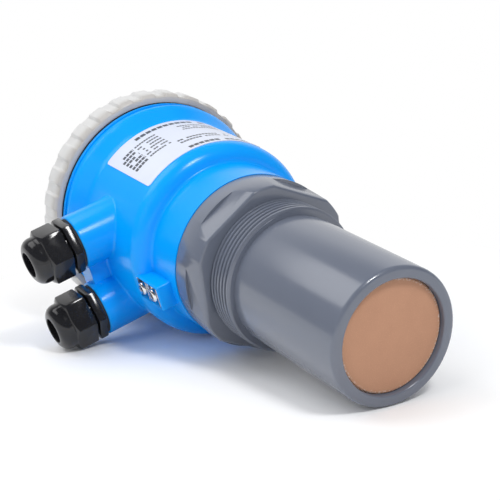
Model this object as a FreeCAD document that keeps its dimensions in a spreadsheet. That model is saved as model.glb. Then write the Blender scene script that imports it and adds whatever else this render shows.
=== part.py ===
import FreeCAD, Part
import math
import os
import re
import Sketcher

# Ultrasonic level transmitter: a moulded housing with a clear screw cover and two cable glands, on a probe
# that screws into the roof of a tank. Millimetres. +Z runs along the axis from the probe's tip to the
# cover, the origin is on the axis at the seat of the process thread, and the glands point along -Y.

SIZES = {
    # probe: tube, process thread, hexagon with turned corners, round flange and the plug inside the neck
    "tube_r": 27.0,
    "tube_len": 67.6,
    "tube_bore_r": 22.3,
    "tip_round": 1.8,
    "tip_inner_round": 0.8,
    "thread_r": 30.0,
    "thread_len": 13.8,
    "thread_chamfer": 1.25,
    "collar_r": 35.8,
    "flange_back_r": 35.2,
    "hex_front_half": 33.0,
    "hex_back_half": 34.6,
    "hex_len": 9.6,
    "hex_turn": -21.6,
    "hex_edge": 0.6,
    "flange_len": 9.6,
    "plug_r": 31.5,
    "plug_len": 14.0,
    "plug_clear": 0.1,
    "neck_seal_r": 1.15,
    "neck_seal_up": 7.0,
    "seal_clear": 0.05,
    # transducer stack behind the tip
    "disc_recess": 2.2,
    "disc_thick": 6.0,
    "stack_clear": 0.15,
    "piezo_r": 18.0,
    "piezo_thick": 6.0,
    "backing_len": 22.0,
    "lead_r": 1.8,
    # housing
    "neck_r": 35.5,
    "neck_len": 20.1,
    "crease_round": 1.4,
    "shoulder_round": 7.0,
    "wall_r": 43.0,
    "wall_len": 49.3,
    "wall_thick": 3.0,
    "floor_thick": 8.0,
    "floor_round": 3.0,
    "flare_len": 7.4,
    "flare_round": 5.0,
    "rim_r": 48.0,
    "rim_len": 6.4,
    "rim_round": 0.5,
    "rim_groove_up": 3.0,
    "rim_groove_wide": 0.9,
    "rim_groove_deep": 0.7,
    "spigot_r": 45.4,
    "spigot_len": 8.0,
    "mouth_r": 42.2,
    # cable bosses and the web between them
    "boss_x": 16.6,
    "boss_up": 31.7,
    "boss_r": 12.2,
    "boss_reach": 54.0,
    "boss_bore_deep": 23.0,
    "boss_edge": 0.6,
    "boss_root": 1.2,
    "web_back": 2.0,
    "web_below": 2.0,
    "web_above": 9.0,
    # earth block on the neck
    "earth_gap": 5.2,
    "earth_mid": -1.35,
    "earth_width": 11.3,
    "earth_face": 42.0,
    "earth_wall": 0.9,
    "earth_recess": 2.2,
    "earth_edge": 0.7,
    "earth_screw_r": 1.9,
    "earth_head_r": 2.9,
    "earth_head_high": 2.4,
    "earth_screw_deep": 5.0,
    "earth_hole_more": 0.6,
    "saddle_thick": 0.8,
    "saddle_lip": 0.7,
    "saddle_lip_high": 1.2,
    "saddle_gap": 0.9,
    "saddle_end": 1.0,
    "saddle_side": 0.5,
    # clear cover and its O-ring
    "cover_gap": 0.3,
    "cover_wall": 3.8,
    "cover_high": 13.9,
    "cover_plate": 3.5,
    "cover_round": 3.0,
    "cover_lip": 1.2,
    "cover_clear": 0.3,
    "grips": 28,
    "grip_deep": 1.3,
    "grip_root": 4.8,
    "grip_mouth": 6.2,
    "seal_r": 1.1,
    "seal_gap": 0.3,
    # board stack on three columns
    "column_ring": 35.4,
    "column_r": 3.5,
    "column_rib": 2.4,
    "board_r": 38.0,
    "board_thick": 1.6,
    "board_cut": 33.6,
    "board_gap": 7.4,
    "spacer_len": 12.4,
    "spacer_r": 3.1,
    "board_hole_r": 1.6,
    "board_screw_r": 1.45,
    "board_head_r": 2.7,
    "board_head_high": 2.0,
    "column_screw_deep": 8.0,
    "header_x": 20.0,
    "header_y": 5.0,
    "header_back": 22.0,
    # front panel on its ledge and lugs
    "panel_down": 3.4,
    "panel_thick": 2.0,
    "panel_clear": 0.3,
    "lug_ring": 37.6,
    "lug_r": 3.4,
    "lug_len": 4.0,
    "lug_clear": 0.9,
    "panel_screw_r": 1.2,
    "panel_screw_len": 3.5,
    "panel_head_r": 2.5,
    "panel_head_high": 1.8,
    "screw_clear": 0.15,
    "tap_clear": 0.05,
    # display
    "window_x": 44.0,
    "window_y": 26.0,
    "window_back": 9.0,
    "window_thick": 1.2,
    "window_down": 0.4,
    "window_clear": 0.15,
    "lcd_border": 3.0,
    "lcd_clear": 0.1,
    "lcd_recess": 0.6,
    # keys and the switches under them
    "key_r": 3.4,
    "key_clear": 0.25,
    "key_pitch": 11.0,
    "key_front": 14.5,
    "key_proud": 1.6,
    "key_edge": 0.6,
    "key_flange_r": 4.5,
    "key_flange_thick": 1.0,
    "key_rest_gap": 0.3,
    "key_stem_r": 1.6,
    "key_stem_len": 1.2,
    "key_travel": 0.8,
    "switch_side": 6.0,
    "switch_button_r": 1.7,
    "switch_button_high": 1.0,
    "switch_gap": 0.2,
    # terminal block
    "poles": 6,
    "pole_pitch": 5.0,
    "terminal_front": 33.0,
    "terminal_deep": 10.0,
    "terminal_high": 10.6,
    "terminal_slope": 3.0,
    "terminal_slope_high": 4.5,
    "terminal_clear": 0.4,
    "entry_x": 3.4,
    "entry_high": 3.6,
    "entry_up": 1.4,
    "entry_deep": 6.0,
    "terminal_hole_r": 2.0,
    "terminal_hole_deep": 4.5,
    "terminal_screw_r": 1.8,
    "terminal_screw_len": 3.2,
    # cable glands, measured outwards from the boss face
    "gland_thread_r": 9.3,
    "gland_thread_len": 9.0,
    "thread_clear": 0.1,
    "gasket_r": 11.2,
    "gasket_thick": 1.0,
    "gland_flat": 22.0,
    "gland_flange": 3.6,
    "gland_bore_r": 6.2,
    "clamp_r": 9.1,
    "clamp_len": 9.6,
    "clamp_bore_r": 7.6,
    "seat_up": 1.4,
    "insert_clear": 0.1,
    "insert_bore_r": 4.0,
    "insert_gap": 0.3,
    "nut_gap": 1.2,
    "nut_hex": 9.8,
    "nut_dome": 6.2,
    "nut_dome_r": 10.9,
    "nut_round": 4.6,
    "nut_chamfer": 1.0,
    "nut_mouth_r": 5.6,
    # label on the wall
    "label_up": 0.3,
    "label_high": 40.5,
    "label_arc": 79.0,
    "label_turn": -32.6,
    "label_thick": 0.2,
    "label_gap": 0.02,
    "label_corner": 1.5,
    # how far a cut runs past the face it starts from
    "overcut": 1.0,
}

# levels along the axis, worked out from the sizes above
TIP_Z = "(-thread_len - tube_len)"
COLLAR_Z = "(hex_len + flange_len)"
SHOULDER_Z = f"({COLLAR_Z} + neck_len)"
FLOOR_Z = f"({SHOULDER_Z} + floor_thick)"
FLARE_Z = f"({SHOULDER_Z} + wall_len)"
RIM_Z = f"({FLARE_Z} + flare_len)"
RIM_TOP = f"({RIM_Z} + rim_len)"
MOUTH_Z = f"({RIM_TOP} + spigot_len)"
BOSS_Z = f"({SHOULDER_Z} + boss_up)"
PANEL_TOP = f"({MOUTH_Z} - panel_down)"
PANEL_Z = f"({PANEL_TOP} - panel_thick)"
MAIN_TOP = f"({PANEL_Z} - board_gap)"
MAIN_Z = f"({MAIN_TOP} - board_thick)"
POWER_TOP = f"({MAIN_Z} - spacer_len)"
POWER_Z = f"({POWER_TOP} - board_thick)"
DISC_TOP = f"({TIP_Z} + disc_recess + disc_thick)"
PIEZO_TOP = f"({DISC_TOP} + piezo_thick)"
BACKING_TOP = f"({PIEZO_TOP} + backing_len)"
EARTH_LOW = f"({COLLAR_Z} + earth_gap)"
EARTH_HIGH = f"({SHOULDER_Z} + shoulder_round)"
EARTH_Z = f"(({EARTH_LOW} + {EARTH_HIGH}) / 2)"
EARTH_FLOOR = "(earth_face - earth_recess)"
SADDLE_LEN = f"(({EARTH_HIGH} - {EARTH_LOW} - saddle_gap) / 2 - earth_wall - saddle_end)"
EARTH_PITCH = f"({SADDLE_LEN} + saddle_gap)"
CAVITY_R = "(wall_r - wall_thick)"
NECK_BORE_R = "(plug_r + plug_clear)"
STACK_R = "(tube_bore_r - stack_clear)"
COVER_LOW = f"({RIM_TOP} + cover_gap)"
COVER_TOP = f"({COVER_LOW} + cover_high)"
COVER_BORE_R = "(spigot_r + cover_clear)"
SEAL_POCKET_R = f"({COVER_BORE_R} + 2 * seal_r + seal_gap)"
COVER_R = f"({SEAL_POCKET_R} + cover_wall)"
KEY_FLANGE_TOP = f"({PANEL_Z} - key_rest_gap)"
KEY_FLANGE_LOW = f"({KEY_FLANGE_TOP} - key_flange_thick)"
KEY_LOW = f"({KEY_FLANGE_LOW} - key_stem_len)"
SWITCH_TOP = f"({KEY_LOW} - key_travel - switch_gap)"

# how near two lengths are to count as the same
SAME = 1e-3

COLUMN_ANGLES = (90, 210, 330)
LUG_ANGLES = (30, 150, 270)
KEYS = {"key_menu": -1.5, "key_up": -0.5, "key_down": 0.5, "key_enter": 1.5}
SIDES = {"left": "-boss_x", "right": "boss_x"}

doc = FreeCAD.newDocument("level_transmitter")
sheet = doc.addObject("Spreadsheet::Sheet", "Sizes")
for row, (alias, value) in enumerate(SIZES.items(), start=1):
    sheet.set(f"A{row}", alias)
    sheet.set(f"B{row}", str(value))
    sheet.setAlias(f"B{row}", alias)
doc.recompute()

pieces = []


# sheet expressions


def link(expression):
    """The expression with every size written as a reference to its cell."""
    return re.sub(r"[a-z_]+", lambda word: f"Sizes.{word[0]}" if word[0] in SIZES else word[0], expression)


def number(expression):
    """The expression's value now."""
    return float(sheet.evalExpression(link(expression)))


def bind(item, **properties):
    """Ties properties of an object to the sheet."""
    for name, expression in properties.items():
        item.setExpression(name, link(expression))


def place(item, x="0", y="0", z="0", rotation=None):
    """Sets an object's place from the sheet, with an optional fixed rotation."""
    item.Placement = FreeCAD.Placement(FreeCAD.Vector(), rotation or FreeCAD.Rotation())
    for axis, expression in zip("xyz", (x, y, z)):
        item.setExpression(f"Placement.Base.{axis}", link(expression))


def around(ring, angle):
    """The x and y expressions of a point on a ring about the axis."""
    return f"{ring} * cos({angle})", f"{ring} * sin({angle})"


FACING_FRONT = FreeCAD.Rotation(FreeCAD.Vector(1, 0, 0), 90)


# sketches


def new_body(label):
    body = doc.addObject("PartDesign::Body", label)
    pieces.append(body)
    return body


def origin_feature(body, role):
    return next(item for item in body.Origin.OriginFeatures if item.Role == role)


def new_sketch(body, name, plane, lift="0"):
    """A sketch on one of the body's own planes, lifted along that plane's normal."""
    item = body.newObject("Sketcher::SketchObject", name)
    item.AttachmentSupport = [(origin_feature(body, plane), "")]
    item.MapMode = "FlatFace"
    item.setExpression("AttachmentOffset.Base.z", link(lift))
    return item


def fix_point(sketch, geometry, point, x, y):
    """Ties a point of the sketch to its coordinates."""
    for kind, axis, expression in (("DistanceX", -2, x), ("DistanceY", -1, y)):
        if expression == "0":
            sketch.addConstraint(Sketcher.Constraint("PointOnObject", geometry, point, axis))
            continue
        rule = Sketcher.Constraint(kind, -1, 1, geometry, point, number(expression))
        index = sketch.addConstraint(rule)
        sketch.setExpression(f"Constraints[{index}]", link(expression))


def draw_polygon(sketch, corners):
    """A closed outline of straight lines through corners given as expressions."""
    first = sketch.GeometryCount
    spots = [FreeCAD.Vector(number(x), number(y), 0) for x, y in corners]
    for start, end in zip(spots, spots[1:] + spots[:1]):
        sketch.addGeometry(Part.LineSegment(start, end), False)
    for step in range(len(corners)):
        after = first + (step + 1) % len(corners)
        sketch.addConstraint(Sketcher.Constraint("Coincident", first + step, 2, after, 1))
    for step, (x, y) in enumerate(corners):
        fix_point(sketch, first + step, 1, x, y)


def draw_box(sketch, x_low, y_low, x_high, y_high):
    draw_polygon(sketch, [(x_low, y_low), (x_high, y_low), (x_high, y_high), (x_low, y_high)])


def draw_circle(sketch, x, y, radius):
    spot = FreeCAD.Vector(number(x), number(y), 0)
    geometry = sketch.addGeometry(Part.Circle(spot, FreeCAD.Vector(0, 0, 1), number(radius)), False)
    fix_point(sketch, geometry, 3, x, y)
    index = sketch.addConstraint(Sketcher.Constraint("Radius", geometry, number(radius)))
    sketch.setExpression(f"Constraints[{index}]", link(radius))


def draw_hexagon(sketch, across):
    """A hexagon about the origin, with the given distance across its flats."""
    corner = f"{across} / 2 / cos(30)"
    draw_polygon(sketch, [around(corner, 60 * step) for step in range(6)])


# features


def finish_feature(body, feature, cuts):
    """Builds the new feature and checks that it really added or removed material."""
    before = body.Tip.Shape.Volume if body.Tip and body.Tip is not feature else 0.0
    body.Tip = feature
    doc.recompute()
    after = feature.Shape.Volume
    if (after >= before) if cuts else (after <= before):
        raise RuntimeError(f"{body.Label}: {feature.Name} changed nothing, {feature.getStatusString()}")
    return feature


def turn(body, name, corners, cuts=False, angle="360"):
    """A revolved profile of radius and level corners, added to the body or cut from it."""
    before = body.Tip
    sketch = new_sketch(body, f"{name}_profile", "XZ_Plane")
    draw_polygon(sketch, corners)
    feature = body.newObject("PartDesign::Groove" if cuts else "PartDesign::Revolution", name)
    feature.Profile = sketch
    feature.ReferenceAxis = (sketch, ["V_Axis"])
    feature.setExpression("Angle", link(angle))
    body.Tip = before
    return finish_feature(body, feature, cuts)


def extrude(body, name, sketch, length, cuts=False, symmetric=False):
    """A sketch padded along its normal, or pocketed against it, by a length."""
    before = body.Tip
    feature = body.newObject("PartDesign::Pocket" if cuts else "PartDesign::Pad", name)
    feature.Profile = sketch
    if symmetric:
        feature.SideType = "Symmetric"
    feature.setExpression("Length", link(length))
    body.Tip = before
    return finish_feature(body, feature, cuts)


def repeat(body, name, features, count, cuts=False):
    """The features repeated evenly around the axis."""
    before = body.Tip
    pattern = body.newObject("PartDesign::PolarPattern", name)
    pattern.Originals = features
    pattern.Axis = (origin_feature(body, "Z_Axis"), [""])
    pattern.Angle = 360
    pattern.setExpression("Occurrences", link(count))
    body.Tip = before
    return finish_feature(body, pattern, cuts)


def round_edges(body, name, radius, wanted):
    """A fillet on the edges of the body that a test picks."""
    base = body.Tip
    names = [f"Edge{index}" for index, edge in enumerate(base.Shape.Edges, start=1) if wanted(edge)]
    if not names:
        raise RuntimeError(f"{body.Label}: no edge for {name}")
    fillet = body.newObject("PartDesign::Fillet", name)
    fillet.Base = (base, names)
    fillet.setExpression("Radius", link(radius))
    body.Tip = fillet
    doc.recompute()
    return fillet


def on_ring(radius, level):
    """A test for edges that run around the axis at a radius and a level."""
    def test(edge):
        spots = [vertex.Point for vertex in edge.Vertexes]
        at_level = all(abs(spot.z - number(level)) < SAME for spot in spots)
        at_radius = all(abs(math.hypot(spot.x, spot.y) - number(radius)) < SAME for spot in spots)
        return bool(spots) and at_level and at_radius
    return test


# simple solids


def cylinder(name, radius, height, x="0", y="0", z="0", rotation=None):
    item = doc.addObject("Part::Cylinder", name)
    bind(item, Radius=radius, Height=height)
    place(item, x, y, z, rotation)
    return item


def ring(name, outer, inner, height, x="0", y="0", z="0", rotation=None):
    """A flat ring, cut from two cylinders."""
    item = doc.addObject("Part::Cut", name)
    item.Base = cylinder(f"{name}_outer", outer, height, x, y, z, rotation)
    item.Tool = cylinder(f"{name}_inner", inner, height, x, y, z, rotation)
    return item


def fuse(name, *items):
    item = doc.addObject("Part::MultiFuse", name)
    item.Shapes = list(items)
    return item


def group(label, items):
    """Separate solids of one kind in one piece."""
    item = doc.addObject("Part::Compound", label)
    item.Links = items
    pieces.append(item)
    return item


def torus(label, ring_r, cord_r, z):
    item = doc.addObject("Part::Torus", label)
    bind(item, Radius1=ring_r, Radius2=cord_r)
    place(item, z=z)
    pieces.append(item)
    return item


def solid(item):
    """Marks a simple solid as a piece of its own."""
    pieces.append(item)
    return item


# probe


def make_probe_body():
    body = new_body("probe_body")
    groove_low = f"{COLLAR_Z} + neck_seal_up - neck_seal_r - seal_clear"
    groove_high = f"{COLLAR_Z} + neck_seal_up + neck_seal_r + seal_clear"
    groove_r = "plug_r - 2 * neck_seal_r"
    turn(body, "probe_turned", [
        ("tube_bore_r", TIP_Z),
        ("tube_r", TIP_Z),
        ("tube_r", "-thread_len"),
        ("thread_r - thread_chamfer", "-thread_len"),
        ("thread_r", "thread_chamfer - thread_len"),
        ("thread_r", "0"),
        ("collar_r", "0"),
        ("collar_r", "hex_len"),
        ("flange_back_r", COLLAR_Z),
        ("plug_r", COLLAR_Z),
        ("plug_r", groove_low),
        (groove_r, groove_low),
        (groove_r, groove_high),
        ("plug_r", groove_high),
        ("plug_r", f"{COLLAR_Z} + plug_len"),
        ("tube_bore_r", f"{COLLAR_Z} + plug_len"),
    ])
    round_edges(body, "tip_edge", "tip_round", on_ring("tube_r", TIP_Z))
    round_edges(body, "tip_inner_edge", "tip_inner_round", on_ring("tube_bore_r", TIP_Z))
    # each flat leans back a little and stops at the round flange, which leaves a crescent step behind it
    lean = "(hex_back_half - hex_front_half) / hex_len"
    sketch = new_sketch(body, "hex_flat_profile", "XZ_Plane")
    draw_polygon(sketch, [
        (f"hex_front_half - {lean} * overcut", "-overcut"),
        ("collar_r + overcut", "-overcut"),
        ("collar_r + overcut", "hex_len"),
        ("hex_back_half", "hex_len"),
    ])
    flat = extrude(body, "hex_flat", sketch, "2 * collar_r", cuts=True, symmetric=True)
    repeat(body, "hex_flats", [flat], "6", cuts=True)
    outside_thread = number("thread_r") + SAME

    def front_edge(edge):
        spots = [vertex.Point for vertex in edge.Vertexes]
        return all(abs(spot.z) < SAME and math.hypot(spot.x, spot.y) > outside_thread for spot in spots)
    round_edges(body, "hex_front", "hex_edge", front_edge)
    body.Placement = FreeCAD.Placement(FreeCAD.Vector(), FreeCAD.Rotation(FreeCAD.Vector(0, 0, 1), 0))
    body.setExpression("Placement.Rotation.Angle", link("hex_turn"))


def make_transducer():
    solid(cylinder("sensing_disc", STACK_R, "disc_thick", z=f"{TIP_Z} + disc_recess"))
    solid(cylinder("piezo_disc", "piezo_r", "piezo_thick", z=DISC_TOP))
    solid(ring("isolation_ring", STACK_R, "piezo_r + stack_clear", "piezo_thick", z=DISC_TOP))
    solid(cylinder("damping_backing", STACK_R, "backing_len", z=PIEZO_TOP))
    solid(cylinder("transducer_lead", "lead_r", f"{POWER_Z} - {BACKING_TOP}", z=BACKING_TOP))
    torus("neck_seal", "plug_r - neck_seal_r + seal_clear / 2", "neck_seal_r", f"{COLLAR_Z} + neck_seal_up")


# housing


def make_housing():
    body = new_body("housing")
    groove_low = f"{RIM_Z} + rim_groove_up"
    groove_high = f"{groove_low} + rim_groove_wide"
    groove_r = "rim_r - rim_groove_deep"
    turn(body, "housing_turned", [
        ("0", COLLAR_Z),
        ("neck_r", COLLAR_Z),
        ("neck_r", SHOULDER_Z),
        ("wall_r", SHOULDER_Z),
        ("wall_r", FLARE_Z),
        ("rim_r", RIM_Z),
        ("rim_r", groove_low),
        (groove_r, groove_low),
        (groove_r, groove_high),
        ("rim_r", groove_high),
        ("rim_r", RIM_TOP),
        ("spigot_r", RIM_TOP),
        ("spigot_r", MOUTH_Z),
        ("0", MOUTH_Z),
    ])
    round_edges(body, "shoulder", "shoulder_round", on_ring("wall_r", SHOULDER_Z))
    round_edges(body, "crease", "crease_round", on_ring("neck_r", SHOULDER_Z))
    round_edges(body, "flare", "flare_round", on_ring("wall_r", FLARE_Z))
    round_edges(body, "rim_edge", "rim_round", on_ring("rim_r", RIM_Z))

    sketch = new_sketch(body, "boss_circles", "XZ_Plane")
    for x in SIDES.values():
        draw_circle(sketch, x, BOSS_Z, "boss_r")
    extrude(body, "bosses", sketch, "boss_reach")
    boss_face = number("-boss_reach")
    round_edges(body, "boss_edges", "boss_edge", lambda edge: abs(edge.BoundBox.YMin - boss_face) < SAME)
    sketch = new_sketch(body, "web_outline", "XZ_Plane")
    draw_box(sketch, "-boss_x", f"{BOSS_Z} - web_below", "boss_x", f"{BOSS_Z} + web_above")
    extrude(body, "boss_web", sketch, "boss_reach - web_back")
    wall_r = number("wall_r")
    levels = (number(f"{BOSS_Z} - boss_r") - SAME, number(f"{BOSS_Z} + boss_r") + SAME)

    def boss_foot(edge):
        middle = edge.valueAt((edge.FirstParameter + edge.LastParameter) / 2)
        spots = [vertex.Point for vertex in edge.Vertexes] + [middle]
        on_wall = all(abs(math.hypot(spot.x, spot.y) - wall_r) < SAME for spot in spots)
        return on_wall and all(spot.y < 0 and levels[0] < spot.z < levels[1] for spot in spots)
    round_edges(body, "boss_roots", "boss_root", boss_foot)

    x_low = "earth_mid - earth_width / 2"
    x_high = "earth_mid + earth_width / 2"
    sketch = new_sketch(body, "earth_outline", "XZ_Plane")
    draw_box(sketch, x_low, EARTH_LOW, x_high, EARTH_HIGH)
    extrude(body, "earth_block", sketch, "earth_face")
    low = number(EARTH_LOW)
    face = number("-earth_face")
    sides = (number(x_low), number(x_high))

    def block_corner(edge):
        box = edge.BoundBox
        on_low_face = abs(box.ZMin - low) < SAME and box.ZLength < SAME and box.YLength > 1
        on_front = abs(box.YMin - face) < SAME and box.YLength < SAME
        at_side = min(abs(box.XMin - side) + abs(box.XMax - side) for side in sides) < SAME
        return (on_low_face or on_front) and (at_side or abs(box.ZMin - low) < SAME) and box.DiagonalLength > 3
    round_edges(body, "earth_edges", "earth_edge", block_corner)
    sketch = new_sketch(body, "earth_recess_outline", "XZ_Plane", "earth_face")
    draw_box(sketch, f"{x_low} + earth_wall", f"{EARTH_LOW} + earth_wall",
             f"{x_high} - earth_wall", f"{EARTH_HIGH} - earth_wall")
    extrude(body, "earth_recess_cut", sketch, "earth_recess", cuts=True)
    sketch = new_sketch(body, "earth_hole_circles", "XZ_Plane", EARTH_FLOOR)
    for side in ("-", "+"):
        draw_circle(sketch, "earth_mid", f"{EARTH_Z} {side} {EARTH_PITCH} / 2", "earth_screw_r + screw_clear")
    extrude(body, "earth_holes", sketch, "earth_screw_deep + earth_hole_more", cuts=True)

    turn(body, "hollow", [
        ("0", f"{COLLAR_Z} - overcut"),
        (NECK_BORE_R, f"{COLLAR_Z} - overcut"),
        (NECK_BORE_R, FLOOR_Z),
        (CAVITY_R, FLOOR_Z),
        (CAVITY_R, PANEL_Z),
        ("mouth_r", PANEL_Z),
        ("mouth_r", f"{MOUTH_Z} + overcut"),
        ("0", f"{MOUTH_Z} + overcut"),
    ], cuts=True)
    round_edges(body, "floor_corner", "floor_round", on_ring(CAVITY_R, FLOOR_Z))

    sketch = new_sketch(body, "boss_bore_circles", "XZ_Plane", "boss_reach")
    for x in SIDES.values():
        draw_circle(sketch, x, BOSS_Z, "gland_thread_r + thread_clear")
    extrude(body, "boss_bores", sketch, "boss_bore_deep", cuts=True)

    column_len = f"{POWER_Z} - {FLOOR_Z}"
    sketch = new_sketch(body, "column_circle", "XY_Plane", FLOOR_Z)
    draw_circle(sketch, *around("column_ring", COLUMN_ANGLES[0]), "column_r")
    column = extrude(body, "column", sketch, column_len)
    sketch = new_sketch(body, "column_rib_outline", "XY_Plane", FLOOR_Z)
    draw_box(sketch, "-column_rib / 2", "column_ring", "column_rib / 2", f"{CAVITY_R} + wall_thick / 2")
    rib = extrude(body, "column_rib_pad", sketch, column_len)
    repeat(body, "columns", [column, rib], "3")
    sketch = new_sketch(body, "column_hole_circle", "XY_Plane", POWER_Z)
    for angle in COLUMN_ANGLES:
        draw_circle(sketch, *around("column_ring", angle), "board_screw_r + tap_clear")
    extrude(body, "column_holes", sketch, "column_screw_deep + overcut", cuts=True)

    sketch = new_sketch(body, "lug_circle", "XY_Plane", f"{PANEL_Z} - lug_len")
    draw_circle(sketch, *around("lug_ring", LUG_ANGLES[0]), "lug_r")
    lug = extrude(body, "lug", sketch, "lug_len")
    repeat(body, "lugs", [lug], "3")
    sketch = new_sketch(body, "lug_hole_circles", "XY_Plane", PANEL_Z)
    for angle in LUG_ANGLES:
        draw_circle(sketch, *around("lug_ring", angle), "panel_screw_r + tap_clear")
    extrude(body, "lug_holes", sketch, "lug_len", cuts=True)


def make_earth_terminal():
    saddles = []
    screws = []
    width = "earth_width - 2 * earth_wall - 2 * saddle_side"
    for number_of, side in enumerate(("-", "+"), start=1):
        at = f"({EARTH_Z} {side} {EARTH_PITCH} / 2)"
        left = f"earth_mid - ({width}) / 2"
        # a square clamp plate with a lip turned up at each end
        plate = doc.addObject("Part::Box", f"saddle_plate_{number_of}")
        bind(plate, Length=width, Width="saddle_thick", Height=SADDLE_LEN)
        place(plate, left, f"-{EARTH_FLOOR} - saddle_thick", f"{at} - {SADDLE_LEN} / 2")
        lips = []
        for end, low in (("low", f"{at} - {SADDLE_LEN} / 2"), ("high", f"{at} + {SADDLE_LEN} / 2 - saddle_lip")):
            lip = doc.addObject("Part::Box", f"saddle_lip_{end}_{number_of}")
            bind(lip, Length=width, Width="saddle_thick + saddle_lip_high", Height="saddle_lip")
            place(lip, left, f"-{EARTH_FLOOR} - saddle_thick - saddle_lip_high", low)
            lips.append(lip)
        saddle = doc.addObject("Part::Cut", f"saddle_{number_of}")
        saddle.Base = fuse(f"saddle_bent_{number_of}", plate, *lips)
        saddle.Tool = cylinder(f"saddle_hole_{number_of}", "earth_screw_r + screw_clear", "saddle_thick",
                               "earth_mid", f"-{EARTH_FLOOR}", at, FACING_FRONT)
        saddles.append(saddle)
        head = cylinder(f"earth_head_{number_of}", "earth_head_r", "earth_head_high",
                        "earth_mid", f"-{EARTH_FLOOR} - saddle_thick", at, FACING_FRONT)
        shank = cylinder(f"earth_shank_{number_of}", "earth_screw_r", "earth_screw_deep + saddle_thick",
                         "earth_mid", f"earth_screw_deep - {EARTH_FLOOR}", at, FACING_FRONT)
        screws.append(fuse(f"earth_screw_{number_of}", head, shank))
    group("earth_washers", saddles)
    group("earth_screws", screws)


def make_label():
    body = new_body("type_label")
    low = f"{SHOULDER_Z} + shoulder_round + label_up"
    inner = "wall_r + label_gap"
    turn(body, "label_band", [
        (inner, low),
        (f"{inner} + label_thick", low),
        (f"{inner} + label_thick", f"{low} + label_high"),
        (inner, f"{low} + label_high"),
    ], angle="label_arc")
    round_edges(body, "label_corners", "label_corner",
                lambda edge: abs(edge.Length - number("label_thick")) < SAME)
    body.Placement = FreeCAD.Placement(FreeCAD.Vector(), FreeCAD.Rotation(FreeCAD.Vector(0, 0, 1), 0))
    body.setExpression("Placement.Rotation.Angle", link("label_turn"))


# cover


def make_cover():
    body = new_body("clear_cover")
    pocket_top = f"{RIM_TOP} + 2 * seal_r + 2 * seal_gap"
    plate_low = f"{COVER_TOP} - cover_plate"
    turn(body, "cover_turned", [
        (COVER_BORE_R, pocket_top),
        (SEAL_POCKET_R, pocket_top),
        (SEAL_POCKET_R, COVER_LOW),
        (f"{COVER_R} - cover_lip", COVER_LOW),
        (COVER_R, f"{COVER_LOW} + cover_lip"),
        (COVER_R, COVER_TOP),
        ("0", COVER_TOP),
        ("0", plate_low),
        (COVER_BORE_R, plate_low),
    ])
    round_edges(body, "cover_edge", "cover_round", on_ring(COVER_R, COVER_TOP))
    # the grip is a row of shallow valleys with sloping sides, about as wide as the ridges between them
    floor_r = f"({COVER_R} - grip_deep)"
    open_half = "(grip_mouth + (grip_mouth - grip_root) * overcut / grip_deep) / 2"
    sketch = new_sketch(body, "grip_valley_outline", "XY_Plane", f"{COVER_TOP} + overcut")
    draw_polygon(sketch, [
        (floor_r, "-grip_root / 2"),
        (f"{COVER_R} + overcut", f"-{open_half}"),
        (f"{COVER_R} + overcut", open_half),
        (floor_r, "grip_root / 2"),
    ])
    valley = extrude(body, "grip_valley", sketch, "cover_high + 2 * overcut", cuts=True)
    repeat(body, "grip_row", [valley], "grips", cuts=True)
    body.Placement = FreeCAD.Placement(FreeCAD.Vector(), FreeCAD.Rotation(FreeCAD.Vector(0, 0, 1), 0))
    body.setExpression("Placement.Rotation.Angle", link("180 / grips"))
    torus("cover_seal", f"{COVER_BORE_R} + seal_r", "seal_r", f"{RIM_TOP} + seal_r + seal_gap")


# boards


def make_board(label, level):
    """A round board with a chord cut for the wires, notches for the lugs and holes for the columns."""
    body = new_body(label)
    sketch = new_sketch(body, f"{label}_disc", "XY_Plane", level)
    draw_circle(sketch, "0", "0", "board_r")
    extrude(body, f"{label}_pad", sketch, "board_thick")
    sketch = new_sketch(body, f"{label}_cuts", "XY_Plane", f"{level} + board_thick")
    draw_box(sketch, "-board_r", "-board_r - overcut", "board_r", "-board_cut")
    for angle in LUG_ANGLES[:2]:
        draw_circle(sketch, *around("lug_ring", angle), "lug_r + lug_clear")
    for angle in COLUMN_ANGLES:
        draw_circle(sketch, *around("column_ring", angle), "board_hole_r")
    extrude(body, f"{label}_pocket", sketch, "board_thick + overcut", cuts=True)


def make_stack():
    make_board("power_board", POWER_Z)
    make_board("main_board", MAIN_Z)
    spacers = []
    screws = []
    for angle in COLUMN_ANGLES:
        x, y = around("column_ring", angle)
        prism = doc.addObject("Part::Prism", f"spacer_prism_{angle}")
        prism.Polygon = 6
        bind(prism, Circumradius="spacer_r", Height="spacer_len")
        place(prism, x, y, POWER_TOP)
        spacer = doc.addObject("Part::Cut", f"spacer_{angle}")
        spacer.Base = prism
        spacer.Tool = cylinder(f"spacer_hole_{angle}", "board_hole_r", "spacer_len", x, y, POWER_TOP)
        spacers.append(spacer)
        shank_len = f"{MAIN_TOP} - {POWER_Z} + column_screw_deep"
        shank = cylinder(f"board_shank_{angle}", "board_screw_r", shank_len, x, y, f"{POWER_Z} - column_screw_deep")
        head = cylinder(f"board_head_{angle}", "board_head_r", "board_head_high", x, y, MAIN_TOP)
        screws.append(fuse(f"board_screw_{angle}", head, shank))
    group("board_spacers", spacers)
    group("board_screws", screws)
    header = doc.addObject("Part::Box", "board_header")
    bind(header, Length="header_x", Width="header_y", Height="spacer_len")
    place(header, "-header_x / 2", "header_back", POWER_TOP)
    solid(header)


# front panel


def pole_x(pole):
    return f"({pole} - (poles - 1) / 2) * pole_pitch"


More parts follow.
